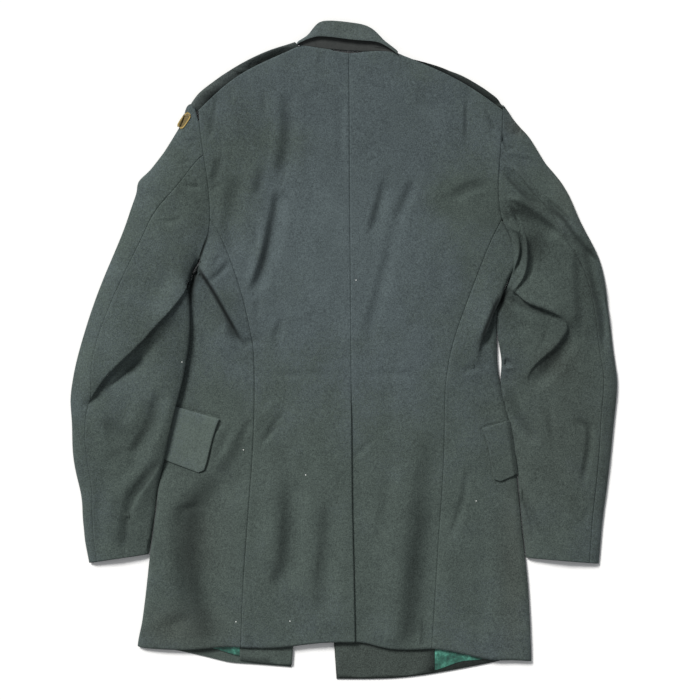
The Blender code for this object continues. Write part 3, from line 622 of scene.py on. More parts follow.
def sew(points, rims, drop, wide):
    """Draws the cloth down along the edges of a panel, as a seam or a turned edge does."""
    edge = np.flatnonzero(rims > 0.999)
    tree = kdtree.KDTree(len(edge))
    for i in edge:
        tree.insert((points[i, 0], points[i, 1], 0), int(i))
    tree.balance()
    top = points[:, 2].copy()
    for i, (x, y, _) in enumerate(points):
        gap = tree.find((x, y, 0))[2] / MM
        if gap < wide:
            top[i] -= drop * MM * (1 - gap / wide) ** 2
    points[:, 2] = np.maximum(top, np.minimum(points[:, 2], 0.0))


def rumple(points, lay):
    """The slow unevenness of cloth that has been worn, longer down the garment than across."""
    for i, (x, y, z) in enumerate(points):
        wave = noise.noise(Vector((x * 24, y * 10, 0.3)))
        wave += 0.22 * noise.noise(Vector((x * 75, y * 40, 4)))
        points[i, 2] = z + RUMPLE_HEIGHT * MM * wave * lay[i]


print("a seam draws the cloth down", SEAM_DROP, "mm, and rumples rise up to", RUMPLE_HEIGHT, "mm")

# %% [markdown]
# ## Where the back is creased
# The back panels, side panels and skirt share one table, so that a crease runs on over a seam. The
# back is drawn towards the armpits, hangs in long soft folds below the waist, and has spare cloth
# rolled up below each armpit.

# %% Creases of the back and the skirt
BACK_CREASES = [
    # rise, left, right, (out, down, strength) ...: across the left shoulder blade
    (-2.8, 20, 15, (-84, 52, 0.5), (-81, 93), (-82, 120), (-86, 146), (-92, 172, 0.8)),
    (1.3, 12, 10, (-97, 60, 0.5), (-98, 110), (-104, 160, 0.8)),
    (-3.8, 20, 11, (-94, 184, 0.7), (-97, 206), (-102, 233), (-107, 259), (-114, 282), (-121, 303),
     (-130, 326, 0.5)),
    (1.8, 12, 12, (-113, 215, 0.5), (-120, 262), (-128, 296), (-138, 318, 0.6)),
    (-1.6, 8, 8, (-125, 332), (-122, 345), (-120, 358, 0.5)),
    (-1.3, 7, 7, (-122, 228, 0.6), (-124, 250), (-124, 275, 0.5)),
    (-2.3, 20, 16, (-150, 166, 0.6), (-157, 206), (-160, 246), (-153, 277, 0.5)),
    (-1.5, 5, 5, (-178, 60, 0.7), (-182, 86), (-189, 120, 0.5)),
    (-1.2, 5, 5, (-186, 62, 0.7), (-187, 98, 0.6)),
    (-2.2, 9, 9, (-175, 142, 0.6), (-178, 160), (-184, 178, 0.7)),
    (-1.2, 5, 5, (-170, 176, 0.5), (-184, 186)),
    (-1.9, 10, 10, (-117, 153, 0.7), (-121, 180), (-127, 198, 0.5)),
    (-1.0, 8, 8, (-116, 47, 0.5), (-113, 92, 0.8)),
    (-0.8, 7, 7, (-158, 50), (-157, 75, 0.6)),
    (-2.0, 7, 6, (-186, 308, 0.7), (-171, 296), (-160, 282, 0.7)),
    (-1.0, 5, 5, (-180, 284), (-172, 272, 0.6)),
    (-1.8, 11, 10, (-90, 357, 0.6), (-94, 372), (-100, 388, 0.6)),
    (-1.1, 8, 8, (-143, 394), (-128, 387), (-114, 389, 0.5)),
    # beside the centre seam and below the neck
    (-1.1, 4, 14, (-8, 60, 0.5), (-9, 93), (-9, 133), (-5, 165, 0.6)),
    (-0.9, 16, 16, (-44, 10), (-30, 14, 0.8)),
    (-0.8, 9, 9, (-60, 68, 0.6), (-37, 50)),
    (-0.8, 7, 7, (3, 36, 0.6), (29, 48), (53, 62, 0.6)),
    # the right of the back
    (-2.4, 14, 11, (48, 170, 0.5), (42, 200), (35, 226), (26, 255, 0.5)),
    (-1.9, 14, 12, (87, 168, 0.3), (80, 186), (69, 213), (62, 236, 0.4)),
    (-1.7, 16, 13, (66, 222, 0.5), (48, 290), (37, 333), (29, 360), (25, 395, 0.5)),
    (-1.5, 4, 4, (157, 58, 0.5), (154, 90), (154, 122, 0.7)),
    (-1.1, 6, 6, (180, 73, 0.5), (186, 93), (194, 112)),
    (-1.9, 12, 12, (132, 204, 0.5), (146, 190), (166, 180), (188, 180, 0.7)),
    (-1.0, 18, 18, (80, 70, 0.6), (108, 78), (130, 74, 0.5)),
    (-0.7, 6, 6, (128, 236, 0.6), (128, 296, 0.6)),
    (-1.5, 9, 9, (150, 428), (172, 420, 0.8)),
    # the waist
    (-0.8, 9, 9, (-116, 430, 0.5), (-70, 432), (-20, 430, 0.5)),
    (-0.6, 9, 9, (18, 434, 0.5), (60, 430), (96, 432, 0.5)),
    # the left skirt: a broad swell, and beside it a valley from the waist to the hem
    (4.8, 26, 50, (-208, 566, 0.3), (-240, 612), (-245, 642), (-242, 692), (-238, 731),
     (-228, 762, 0.8)),
    (-2.6, 48, 30, (-124, 515, 0.6), (-160, 575), (-188, 612), (-191, 642), (-187, 692),
     (-184, 731, 0.8), (-176, 760, 0.6), (-172, 790, 0.5)),
    (-1.6, 9, 9, (-130, 488, 0.6), (-138, 505), (-147, 523, 0.6)),
    (-1.4, 8, 10, (-156, 500, 0.6), (-166, 520), (-178, 546, 0.6)),
    (-1.8, 12, 9, (-196, 604, 0.5), (-214, 610), (-232, 613, 0.5)),
    (-1.2, 9, 9, (-136, 762, 0.6), (-126, 795)),
    # the left back panel below the waist
    (-1.7, 7, 9, (-86, 478, 0.5), (-100, 500), (-117, 524, 0.7)),
    (1.2, 12, 10, (-96, 462, 0.5), (-116, 490, 0.8)),
    (2.2, 18, 24, (-100, 560, 0.4), (-103, 608), (-104, 652), (-110, 692, 0.6)),
    (-2.6, 24, 18, (-74, 570, 0.4), (-76, 608), (-77, 652), (-83, 692), (-102, 722, 0.5)),
    (1.8, 16, 22, (-52, 590, 0.4), (-52, 625), (-54, 678), (-62, 731, 0.5)),
    (-2.2, 22, 18, (-24, 590, 0.4), (-25, 625), (-27, 678), (-34, 731), (-50, 757, 0.5)),
    (-0.8, 8, 8, (-12, 742, 0.7), (0, 726, 0.6)),
    # the right back panel below the waist: a long ridge with a broad valley beside it
    (3.2, 22, 36, (92, 500, 0.15), (85, 519, 0.3), (76, 581, 0.7), (73, 642), (64, 714), (59, 767),
     (50, 794, 0.8)),
    (-3.0, 36, 30, (126, 500, 0.15), (120, 519, 0.3), (111, 581, 0.7), (109, 642), (100, 714),
     (95, 767), (86, 794, 0.9)),
    (-1.5, 8, 8, (157, 552, 0.5), (153, 590), (143, 624), (134, 654, 0.6)),
    (-1.0, 7, 7, (34, 514, 0.6), (18, 530), (6, 542)),
    (-1.2, 14, 14, (56, 545, 0.5), (50, 600), (44, 650, 0.5)),
    (1.2, 20, 20, (190, 600, 0.5), (196, 680), (198, 760, 0.6)),
    (-1.0, 18, 18, (168, 660, 0.5), (176, 720), (178, 780, 0.6)),
    # pressed round the pocket flaps
    (-0.8, 3, 3, (-231, 475), (-173, 491), (-184, 514), (-190, 548), (-197, 561), (-208, 557),
     (-244, 545)),
    (-0.8, 3, 3, (208, 494), (177, 503), (182, 516), (188, 532), (190, 556, 0.4)),
    # the pits below the armpits
    (-5.0, 6, 6, (-199, 276, 0.4), (-206, 292), (-210, 306), (-213, 324, 0.6)),
]
BACK_FOLDS = [
    # swell, wide, sink, wide, push, points: the spare cloth below each armpit
    (2.4, 14, 6.5, 9, 5, (-203, 286, 0.7), (-196, 298), (-182, 320), (-166, 348), (-156, 366),
     (-142, 391, 0.8)),
    (1.5, 10, 5.0, 9, 4, (174, 392, 0.5), (180, 374), (188, 354), (196, 336), (206, 318, 0.8)),
]
print(len(BACK_CREASES), "creases on the back")

# %% [markdown]
# ## Where the sleeves are creased
# A sleeve that lies flat is pressed, so its creases come from how the arm once bent: fans of short
# ones at the armpit, one deep fold across the elbow, and slanting ones down the forearm. The right
# sleeve has a rolled tuck at the armpit as well.

# %% Creases of the left sleeve
LEFT_SLEEVE_CREASES = [
    (-1.3, 5, 5, (-218, 121, 0.6), (-202, 119)),
    (-0.9, 4, 4, (-216, 130, 0.6), (-204, 125)),
    (-1.6, 5, 5, (-222, 177, 0.7), (-213, 182), (-198, 182)),
    (-1.2, 6, 6, (-252, 227, 0.6), (-237, 228), (-220, 223, 0.6)),
    (-1.0, 5, 5, (-228, 152, 0.6), (-210, 146)),
    (-1.6, 26, 26, (-296, 300, 0.7), (-292, 325, 0.8)),
    # under the elbow fold
    (-3.0, 18, 18, (-300, 424, 0.8), (-272, 418)),
    # down the forearm
    (-3.8, 20, 13, (-250, 446, 0.5), (-256, 470), (-264, 496), (-278, 522), (-292, 545, 0.5)),
    (2.2, 14, 14, (-276, 450, 0.5), (-284, 486), (-300, 512, 0.5)),
    (-2.4, 16, 12, (-320, 490, 0.6), (-316, 512), (-306, 530, 0.5)),
    (-3.2, 6, 14, (-252, 545, 0.5), (-268, 568), (-284, 592), (-293, 612), (-298, 640),
     (-300, 668, 0.8)),
    (1.8, 14, 14, (-266, 546, 0.5), (-292, 574), (-318, 606, 0.5)),
    (1.4, 12, 12, (-262, 620, 0.5), (-266, 668, 0.7)),
    (-1.6, 14, 14, (-330, 575, 0.5), (-334, 620), (-330, 668, 0.6)),
    # the pit below the armpit
    (-5.0, 6, 6, (-199, 276, 0.4), (-206, 292), (-210, 306), (-213, 324, 0.6)),
]
LEFT_SLEEVE_FOLDS = [
    (2.2, 18, 3.6, 22, 4, (-348, 474, 0.5), (-339, 456, 0.8), (-326, 436), (-306, 415), (-282, 392),
     (-259, 367), (-237, 343), (-219, 320, 0.6), (-210, 302, 0.1)),
]
print(len(LEFT_SLEEVE_CREASES), "creases on the left sleeve")

# %% Creases of the right sleeve
RIGHT_SLEEVE_CREASES = [
    # at the shoulder
    (-2.4, 4, 4, (202, 112, 0.7), (206, 124), (212, 131), (219, 131, 0.6)),
    (-2.2, 10, 10, (216, 108, 0.6), (228, 111, 0.8)),
    (1.4, 6, 6, (205, 134, 0.6), (222, 138), (240, 142, 0.5)),
    (-3.2, 7, 6, (202, 158, 0.6), (214, 170), (226, 184), (240, 198), (254, 205, 0.7)),
    (2.8, 6, 5, (202, 149, 0.6), (222, 162), (239, 180), (253, 196, 0.6)),
    (-4.2, 5, 6, (258, 196, 0.5), (274, 210), (284, 220), (294, 231, 0.8)),
    (-2.8, 6, 6, (294, 244, 0.6), (306, 259), (320, 273), (332, 287, 0.7)),
    (1.8, 6, 6, (286, 208, 0.5), (306, 240), (326, 268, 0.6)),
    (3.2, 8, 7, (206, 196, 0.6), (226, 201), (246, 213), (264, 227), (280, 240), (290, 254, 0.5)),
    # the hollow below the shoulder
    (-5.0, 14, 18, (214, 210, 0.5), (236, 224), (262, 238), (276, 252, 0.6)),
    (-2.6, 4, 4, (210, 205, 0.6), (219, 216), (226, 232, 0.8)),
    (-1.8, 4, 4, (207, 216, 0.6), (214, 228)),
    # the rolled tuck at the armpit, a hollow on each side of it
    (-4.5, 5, 5, (224, 244, 0.6), (229, 258), (228, 276), (219, 300, 0.7)),
    (3.8, 4, 4, (206, 230, 0.4), (219, 239), (230, 246), (234, 262), (234, 284), (229, 303),
     (218, 319), (217, 328, 0.8)),
    (-3.6, 8, 9, (238, 246, 0.6), (244, 268), (243, 292), (234, 312, 0.5)),
    (-1.6, 12, 12, (254, 258, 0.6), (254, 290), (250, 312, 0.5)),
    # the long dark valley beside the outer strip
    (-3.2, 16, 13, (306, 262, 0.5), (306, 300), (308, 338), (310, 376, 0.5)),
    (-3.0, 10, 9, (315, 262, 0.6), (321, 293), (326, 315), (333, 340), (338, 372), (339, 402, 0.5)),
    (1.6, 6, 6, (336, 300, 0.6), (343, 350), (347, 392, 0.5)),
    # the elbow: a lip that turns over the forearm, and a deep hollow past it
    (-3.4, 14, 18, (297, 378, 0.5), (291, 392), (281, 409), (269, 423), (254, 437),
     (240, 452, 0.6)),
    (2.0, 24, 24, (232, 372, 0.8), (258, 384)),
    (-3.6, 7, 7, (203, 415), (215, 417, 0.6)),
    (-3.0, 14, 14, (212, 424, 0.8), (214, 446, 0.6)),
    (-2.8, 14, 14, (212, 450, 0.6), (221, 479), (238, 508), (254, 521, 0.5)),
    (-2.0, 12, 12, (222, 530, 0.6), (222, 560), (230, 584, 0.5)),
    # the forearm
    (-1.9, 8, 8, (262, 474, 0.5), (267, 500), (271, 526, 0.6)),
    (-1.0, 12, 12, (258, 448, 0.6), (262, 490, 0.6)),
    (-2.4, 8, 7, (303, 492, 0.5), (317, 502), (318, 527), (314, 551), (309, 577, 0.6)),
    (-1.2, 10, 10, (300, 490, 0.6), (312, 508, 0.7)),
    (-2.2, 6, 6, (223, 570, 0.6), (233, 598), (240, 620), (248, 648, 0.5)),
    (-1.0, 6, 6, (306, 632, 0.6), (318, 610, 0.6)),
    (1.2, 16, 16, (290, 560, 0.6), (292, 640, 0.6)),
]
RIGHT_SLEEVE_FOLDS = [
    # swell, wide, sink, wide, push, points
    (3.4, 8, 6.0, 16, 4, (214, 318, 0.8), (223, 324), (236, 335), (256, 343), (272, 350),
     (284, 359, 0.8)),
    (2.8, 14, 2.4, 22, 2, (236, 450, 0.1), (239, 430, 0.5), (252, 413), (269, 399), (282, 384),
     (289, 370), (285, 359, 0.8)),
]
print(len(RIGHT_SLEEVE_CREASES), "creases on the right sleeve")

# %% [markdown]
# ## The panels
# Each row below is one panel: its solid, how finely it is divided, which solids lie under it as
# one tube, its tables of creases, and the cut of its cloth as (width, length, area) in metres and
# square metres. The cut is what a cutter would mark on the flat cloth for what shows.

# %% The panels
BACK = (BACK_CREASES, BACK_FOLDS)
ARM_LEFT = (LEFT_SLEEVE_CREASES, LEFT_SLEEVE_FOLDS)
ARM_RIGHT = (RIGHT_SLEEVE_CREASES, RIGHT_SLEEVE_FOLDS)
PLAIN = ((), ())
LEFT_TUBE = ("upper_sleeve_left", "under_sleeve_left")
RIGHT_TUBE = ("upper_sleeve_right", "under_sleeve_right")
LEFT_BODY = ("side_left", "front_left")
RIGHT_BODY = ("side_right", "front_right")
PANELS = [
    # node, levels, solids of its tube, (creases, folds), finish, cut, rests on
    ("back_left", 4, (), BACK, "serge", (0.21, 0.81, 0.120), ["front_left", "front_right"]),
    ("back_right", 4, (), BACK, "serge", (0.24, 0.81, 0.125), ["front_right", "front_left"]),
    ("side_left", 3, LEFT_BODY, BACK, "serge", (0.22, 0.60, 0.082), ["table", "front_left"]),
    ("side_right", 3, RIGHT_BODY, BACK, "serge", (0.19, 0.62, 0.070), ["table", "front_right"]),
    ("upper_sleeve_left", 3, LEFT_TUBE, ARM_LEFT, "serge", (0.14, 0.65, 0.058), ["table"]),
    ("under_sleeve_left", 3, LEFT_TUBE, ARM_LEFT, "serge", (0.19, 0.62, 0.071), ["table"]),
    ("upper_sleeve_right", 3, RIGHT_TUBE, ARM_RIGHT, "serge", (0.14, 0.65, 0.060), ["table"]),
    ("under_sleeve_right", 3, RIGHT_TUBE, ARM_RIGHT, "serge", (0.19, 0.62, 0.074), ["table"]),
    ("front_left", 2, (), PLAIN, "serge", (0.23, 0.83, 0.128), ["table"]),
    ("front_right", 2, (), PLAIN, "serge", (0.28, 0.84, 0.172), ["table", "front_left"]),
    ("lapel_left", 2, (), PLAIN, "serge", (0.13, 0.27, 0.0147), ["table"]),
    ("lapel_right", 2, (), PLAIN, "serge", (0.12, 0.20, 0.0079), ["table"]),
    ("collar_end_left", 2, (), PLAIN, "serge", (0.07, 0.07, 0.0018), ["table"]),
    ("collar_end_right", 2, (), PLAIN, "serge", (0.055, 0.065, 0.0012), ["table"]),
    ("upper_collar", 3, (), PLAIN, "serge", (0.14, 0.05, 0.0057), ["under_collar"]),
    ("under_collar", 3, (), PLAIN, "melton", (0.13, 0.05, 0.0049), ["back_left", "back_right"]),
    ("shoulder_loop_left", 3, (), PLAIN, "serge", (0.17, 0.06, 0.0060), ["front_left"]),
    ("shoulder_loop_right", 3, (), PLAIN, "serge", (0.165, 0.05, 0.0055), ["front_right"]),
    ("pocket_flap_left", 3, (), PLAIN, "serge", (0.085, 0.08, 0.0052), ["side_left"]),
    ("pocket_flap_right", 3, (), PLAIN, "serge", (0.05, 0.075, 0.0026), ["side_right"]),
    ("facing_left", 3, (), PLAIN, "serge", (0.075, 0.075, 0.0053), ["front_left"]),
    ("facing_right", 3, (), PLAIN, "serge", (0.136, 0.092, 0.0119), ["front_right"]),
    ("lining_left", 4, (), PLAIN, "satin", (0.067, 0.058, 0.0034), ["front_left"]),
    ("lining_right", 4, (), PLAIN, "satin", (0.067, 0.073, 0.0044), ["front_right"]),
    ("sleeve_patch", 4, (), PLAIN, "patch", (0.013, 0.024, 0.0003), ["upper_sleeve_left"]),
]
print(len(PANELS), "panels, cut from", round(sum(row[5][2] for row in PANELS), 2), "square metres")

# %% [markdown]
# ## Tone
# Old serge is browner at edges that hands have soiled, and dyed a little unevenly. That is painted
# as large soft patches, each with its centre and its size. How much lighter a patch makes the cloth
# is painted light and shade: paler where the cloth faces the light, and darker in broad hollows of
# the sleeves, the skirt and the back. Some whole pieces are painted lighter, darker, bluer or
# browner as a whole.

# %% Patches of tone
TONE_PATCHES = [
    # out, down, wide, tall, lighter, bluer, browner
    (-60, 250, 120, 160, 0.10, 0.4, 0),
    (60, 280, 90, 160, 0.05, 0.3, 0),
    (0, 80, 170, 80, -0.03, 0.3, 0),
    (-60, 640, 150, 140, 0.03, -0.4, 0),
    (110, 640, 110, 160, -0.01, -0.4, 0),
    (-200, 640, 60, 140, 0.03, -0.3, 0.05),
    (218, 700, 20, 110, -0.02, -0.3, 0.2),
    (-230, 770, 60, 30, 0.0, -0.3, 0.2),
    (-180, 190, 60, 40, -0.06, -0.5, 0),
    (-130, 130, 70, 40, -0.06, -0.5, 0),
    (150, 200, 60, 30, -0.08, -0.7, 0),
    (-260, 230, 60, 60, 0.0, -0.3, 0),
    (270, 300, 90, 200, -0.08, -0.3, 0),
    (290, 520, 80, 140, -0.06, -0.3, 0.1),
    (-280, 560, 80, 140, -0.05, -0.4, 0),
    (-160, 500, 60, 60, 0.03, -0.3, 0),
    (228, 214, 26, 12, -0.3, -0.4, 0),
    (246, 258, 20, 34, -0.32, -0.4, 0),
    (207, 338, 14, 26, -0.25, -0.2, 0),
    (288, 190, 20, 44, 0.12, -0.1, 0.12),
    (316, 316, 14, 55, -0.26, -0.2, 0),
    (274, 414, 26, 24, -0.16, -0.3, 0.1),
    (228, 100, 16, 12, -0.14, 0, 0.5),
    (-250, 385, 38, 30, -0.22, -0.2, 0),
    (-205, 655, 26, 44, -0.12, -0.2, 0.1),
    (-192, 755, 14, 40, -0.12, -0.2, 0),
    (84, 680, 18, 110, -0.12, -0.3, 0),
    (-88, 620, 14, 60, -0.10, -0.2, 0),
    (205, 430, 30, 40, -0.12, 0.2, 0),
]
PIECE_TONES = {
    # lighter, bluer, browner than the cloth round it
    "pocket_flap_left": (0.3, 0.3, 0),
    "shoulder_loop_left": (-0.1, -0.1, 0.2),
    "shoulder_loop_right": (-0.42, -0.1, 0.2),
    "front_left": (0.02, -0.4, 0.05),
    "front_right": (-0.16, -0.5, 0.25),
    "facing_left": (0.02, -0.4, 0.05),
    "facing_right": (-0.16, -0.5, 0.15),
    "upper_collar": (0.05, -0.1, 0.1),
}
print(len(TONE_PATCHES), "patches of tone, and", len(PIECE_TONES), "pieces with their own")

# %% [markdown]
# ## The dark bottoms of folds
# In a real fold the cloth closes over itself, and no light reaches the bottom. A single thin layer
# can't close like that, so the bottoms of the folds are also painted darker, along lines that are
# given as the creases are. Shallow creases that run the same way as the light hardly show in it,
# so those are painted a little darker as well, with a low strength.

# %% Where folds are dark
FOLD_SHADE_LINES = [
    # strength, left, right, points
    (1.0, 4, 7, (-204, 284, 0.6), (-197, 297), (-182, 320), (-166, 348), (-156, 366),
     (-142, 391, 0.5)),
    (0.4, 3, 18, (-176, 330, 0.2), (-158, 364, 0.8), (-147, 386, 0.7)),
    (0.95, 5, 6, (172, 394, 0.5), (178, 376), (186, 356), (194, 338), (204, 320, 0.8)),
    (0.97, 2.5, 2.5, (-186, 240, 0.5), (-193, 257), (-201, 279), (-204, 286)),
    (0.98, 9, 9, (-202, 280, 0.4), (-206, 292), (-209, 306), (-212, 320), (-213, 342, 0.5)),
    # the right sleeve
    (0.95, 5, 5, (214, 314, 0.6), (206, 327), (198, 345, 0.6)),
    (0.35, 5, 6, (201, 162, 0.6), (213, 173), (226, 186), (239, 198), (253, 202), (260, 205)),
    (0.5, 5, 6, (260, 205), (273, 216), (286, 226), (294, 239), (306, 253), (319, 266), (331, 279)),
    (0.45, 9, 7, (204, 323), (217, 331), (236, 342), (256, 350), (270, 356, 0.6)),
    (0.35, 12, 9, (284, 392, 0.6), (272, 406), (258, 420), (246, 436, 0.6)),
    # the skirt
    (0.32, 12, 14, (-138, 500, 0.4), (-151, 528), (-165, 550), (-182, 568, 0.6)),
    (0.5, 24, 26, (-178, 562, 0.3), (-206, 606, 0.9), (-213, 642), (-212, 690), (-205, 731, 0.9),
     (-198, 764, 0.6), (-195, 790, 0.5)),
    (0.35, 3, 4, (-84, 490, 0.5), (-102, 505), (-121, 524, 0.6)),
    (0.3, 14, 9, (-86, 590, 0.5), (-90, 640), (-95, 684), (-112, 712, 0.5)),
    (0.28, 12, 9, (-36, 610, 0.5), (-40, 670), (-47, 720, 0.7)),
    (0.26, 18, 11, (106, 500, 0.2), (98, 560, 0.5), (94, 640), (84, 714), (80, 764), (72, 792)),
    (0.4, 2.5, 4, (95, 745, 0.4), (96, 770), (95, 796)),
    # the forearms
    (0.28, 11, 11, (-256, 468, 0.5), (-264, 496), (-276, 514), (-293, 533, 0.5)),
    (0.22, 14, 14, (-330, 486, 0.5), (-312, 500), (-299, 516, 0.6)),
    (0.2, 12, 10, (-336, 548, 0.6), (-314, 536), (-298, 522, 0.6)),
    (0.45, 3, 4, (-253, 551, 0.6), (-270, 574), (-286, 595, 0.6)),
    (0.24, 6, 16, (-290, 604, 0.5), (-294, 628), (-297, 650), (-298, 668, 0.6)),
    (0.26, 11, 11, (212, 450, 0.6), (221, 479), (238, 508), (254, 521, 0.5)),
    (0.2, 6, 7, (262, 474, 0.5), (267, 500), (271, 526, 0.6)),
    (0.28, 6, 7, (303, 492, 0.5), (317, 502), (318, 527), (314, 551), (309, 577, 0.6)),
    (0.24, 8, 8, (221, 588, 0.5), (231, 600), (245, 620), (255, 646, 0.5)),
    # the back
    (0.2, 6, 6, (-117, 54, 0.6), (-117, 82, 0.6)),
    (0.3, 4, 4, (-178, 64, 0.6), (-183, 98), (-190, 122, 0.6)),
    (0.3, 7, 7, (-172, 138, 0.5), (-177, 160), (-186, 182, 0.8)),
    (0.26, 8, 8, (-116, 154, 0.6), (-120, 176), (-125, 196, 0.5)),
    (0.2, 16, 16, (-150, 160, 0.5), (-156, 195), (-157, 232, 0.6)),
    (0.34, 4, 5, (156, 56, 0.5), (154, 92), (154, 128, 0.6)),
    (0.24, 4, 4, (178, 74, 0.6), (186, 92), (193, 108, 0.6)),
    (0.28, 10, 10, (136, 196, 0.5), (158, 184), (184, 176, 0.7)),
    (0.24, 6, 7, (43, 170, 0.5), (37, 200), (25, 238, 0.6)),
    (0.2, 7, 7, (82, 168, 0.5), (74, 192), (64, 218, 0.5)),
    (0.2, 12, 9, (-87, 60, 0.4), (-84, 105), (-90, 146), (-97, 172, 0.6)),
    (0.25, 9, 8, (-100, 196, 0.6), (-106, 240), (-116, 282), (-125, 312, 0.5)),
]
print(len(FOLD_SHADE_LINES), "dark lines")

# %% The tone at each point


def near_spot(flat, out, down, wide, tall):
    """1 at a spot of the garment, fading to 0 over its width and its height."""
    return np.exp(-((flat[:, 0] - out) / wide) ** 2 - ((flat[:, 1] - down) / tall) ** 2)


def tones(points):
    """How much lighter (painted light and shade), bluer and browner the cloth is at each point, and
    its painted fold shade.
    """
    flat = garment(points)
    totals = np.zeros((3, len(points)))
    for out, down, wide, tall, *amounts in TONE_PATCHES:
        totals += np.outer(amounts, near_spot(flat, out, down, wide, tall))
    depth = np.zeros(len(points))
    for strength, left, right, *line in FOLD_SHADE_LINES:
        line = along(line)
        near = np.flatnonzero(near_box(flat, line, left + right))
        for part in np.array_split(near, len(near) // BATCH + 1):
            if len(part):
                soft, fade = cross_section(flat[part], line, left, right)
                depth[part] = np.maximum(depth[part], strength * fade * soft)
    return totals, depth


print("tone at the nape:", np.round(tones(np.array([(*place(0, 0), 0.01)]))[0].ravel(), 2))

# %% [markdown]
# ## Where worn cloth strays from its pattern
# The solids follow the cut. The real edges have pulled a few millimetres out of it: a sleeve that
# bulges at the elbow, a hem that dips, a collar tip that is turned out. Each nudge is a soft shift
# of the cloth round one spot, and applies to every panel whose name holds all of its words, so
# that the two panels of a sleeve move together.

# %% Nudges
NUDGES = {
    # out, down, wide, tall, move out, move down
    "sleeve_left": [(-278, 174, 25, 12, -6, 0), (-360, 372, 45, 110, -4, 0),
                    (-208, 83, 14, 13, -6, -11)],
    "sleeve_right": [(212, 535, 16, 70, -4, 0), (206, 470, 14, 24, -3, 0),
                     (204, 80, 12, 12, -0.5, -8), (201, 345, 12, 36, -3, 0),
                     (203, 418, 8, 18, 2, 0)],
    "back_left": [(-165, 800, 34, 14, 0, -4)],
    "side_left": [(-165, 800, 34, 14, 0, -4), (-276, 790, 16, 20, -3, 1)],
    "front_left": [(-160, 812, 28, 10, 0, 2.5), (-76, 812, 10, 30, -3, 0)],
    "lining_left": [(-160, 806, 40, 8, 0, 9)],
    "lining_right": [(120, 822, 60, 12, 0, 12), (170, 812, 14, 10, 10, 5)],
    "collar": [(-64, -8, 12, 12, -6, 1), (55, -1, 10, 10, 5, 3)],
    "loop_left": [(-207, 74, 12, 12, 2, 3), (-75, 2, 14, 8, 11, 2)],
    "loop_right": [(207, 72, 9, 9, -4, 2), (114, 27, 44, 26, 2, -4)],
}


def nudge(points, rows):
    for out, down, wide, tall, move_out, move_down in rows:
        flat = garment(points)
        near = near_spot(flat, out, down, wide, tall)
        points[:, 0] += near * move_out * MM
        points[:, 1] -= near * move_down * MM


def rows_for(node):
    return [row for key, rows in NUDGES.items() for row in rows
            if all(word in node for word in key.split("_"))]


print(len(rows_for("upper_sleeve_right")), "nudges on the right upper sleeve")

# %% [markdown]
# ## The shoulder loops
# A shoulder loop lies on the front of the shoulder, so from behind only its edge shows past the
# back, as a dark strip, painted darker as a piece and with painted shade beside the back's edge. It
# sinks beside the back's edge, then swells where it turns over. The distance past the back is
# measured on the back's own solid, which keeps the strip even.

# %% Roll a shoulder loop
SHOULDER_LEVEL = 0.0098
LOOP_SWELL, LOOP_TURN, LOOP_SINK = 4.5, 2.5, 2.5
LOOP_SIDES = {
    # the way out from the neck, how far the shadow beside the back reaches, the push outwards
    "back_left": (-1, 2.4, 4),
    "back_right": (1, 1.8, 2.6),
}


def roll_loop(points, back):
    """Shapes what shows of a loop past the back, and gives the painted shade at each point beside
    it.
    """
    tree = solid_tree(back)
    outward, shadow, push = LOOP_SIDES[back]
    depth = np.ones(len(points))
    for i, (x, y, _) in enumerate(points):
        if tree.ray_cast(Vector((x, y, -0.01)), Vector((0, 0, 1)))[0]:
            continue
        past = tree.find_nearest((x, y, SHOULDER_LEVEL))[3] / MM
        # painted shade: near black right beside the back's edge, fading over the shadow's reach
        depth[i] = 0.97 * (1 - ease((past - 0.7) / shadow))
        swell = LOOP_SWELL * ease((past - 2) / 3.5) - LOOP_TURN * ease((past - 7) / 3)
        sink = LOOP_SINK * math.exp(-((past - 1.2) / 1.2) ** 2)
        points[i, 2] += (swell - sink) * MM
        points[i, :2] += np.array((0.5 * outward, 0.87)) * ease(past / 4) * push * MM
    return depth


print("the loops are pushed out by", [side[2] for side in LOOP_SIDES.values()], "mm")

# %% [markdown]
# ## Making the cloth
# Every panel goes through the same steps: copy, crease, fold, sew down at the edges, and paint.
# The collar's fall is pressed lower than its solid, because worn wool packs down. Nothing may go
# below the table. Then the panel rides on the tunic's one body and stands for its solid, which is
# hidden.

# %% A panel
CREASE_PRESS = 1.35
COLLAR_BASE, COLLAR_PRESS = 0.0105, 0.45
FINISHES = {"serge": SERGE, "melton": MELTON, "satin": SATIN, "patch": PATCH}


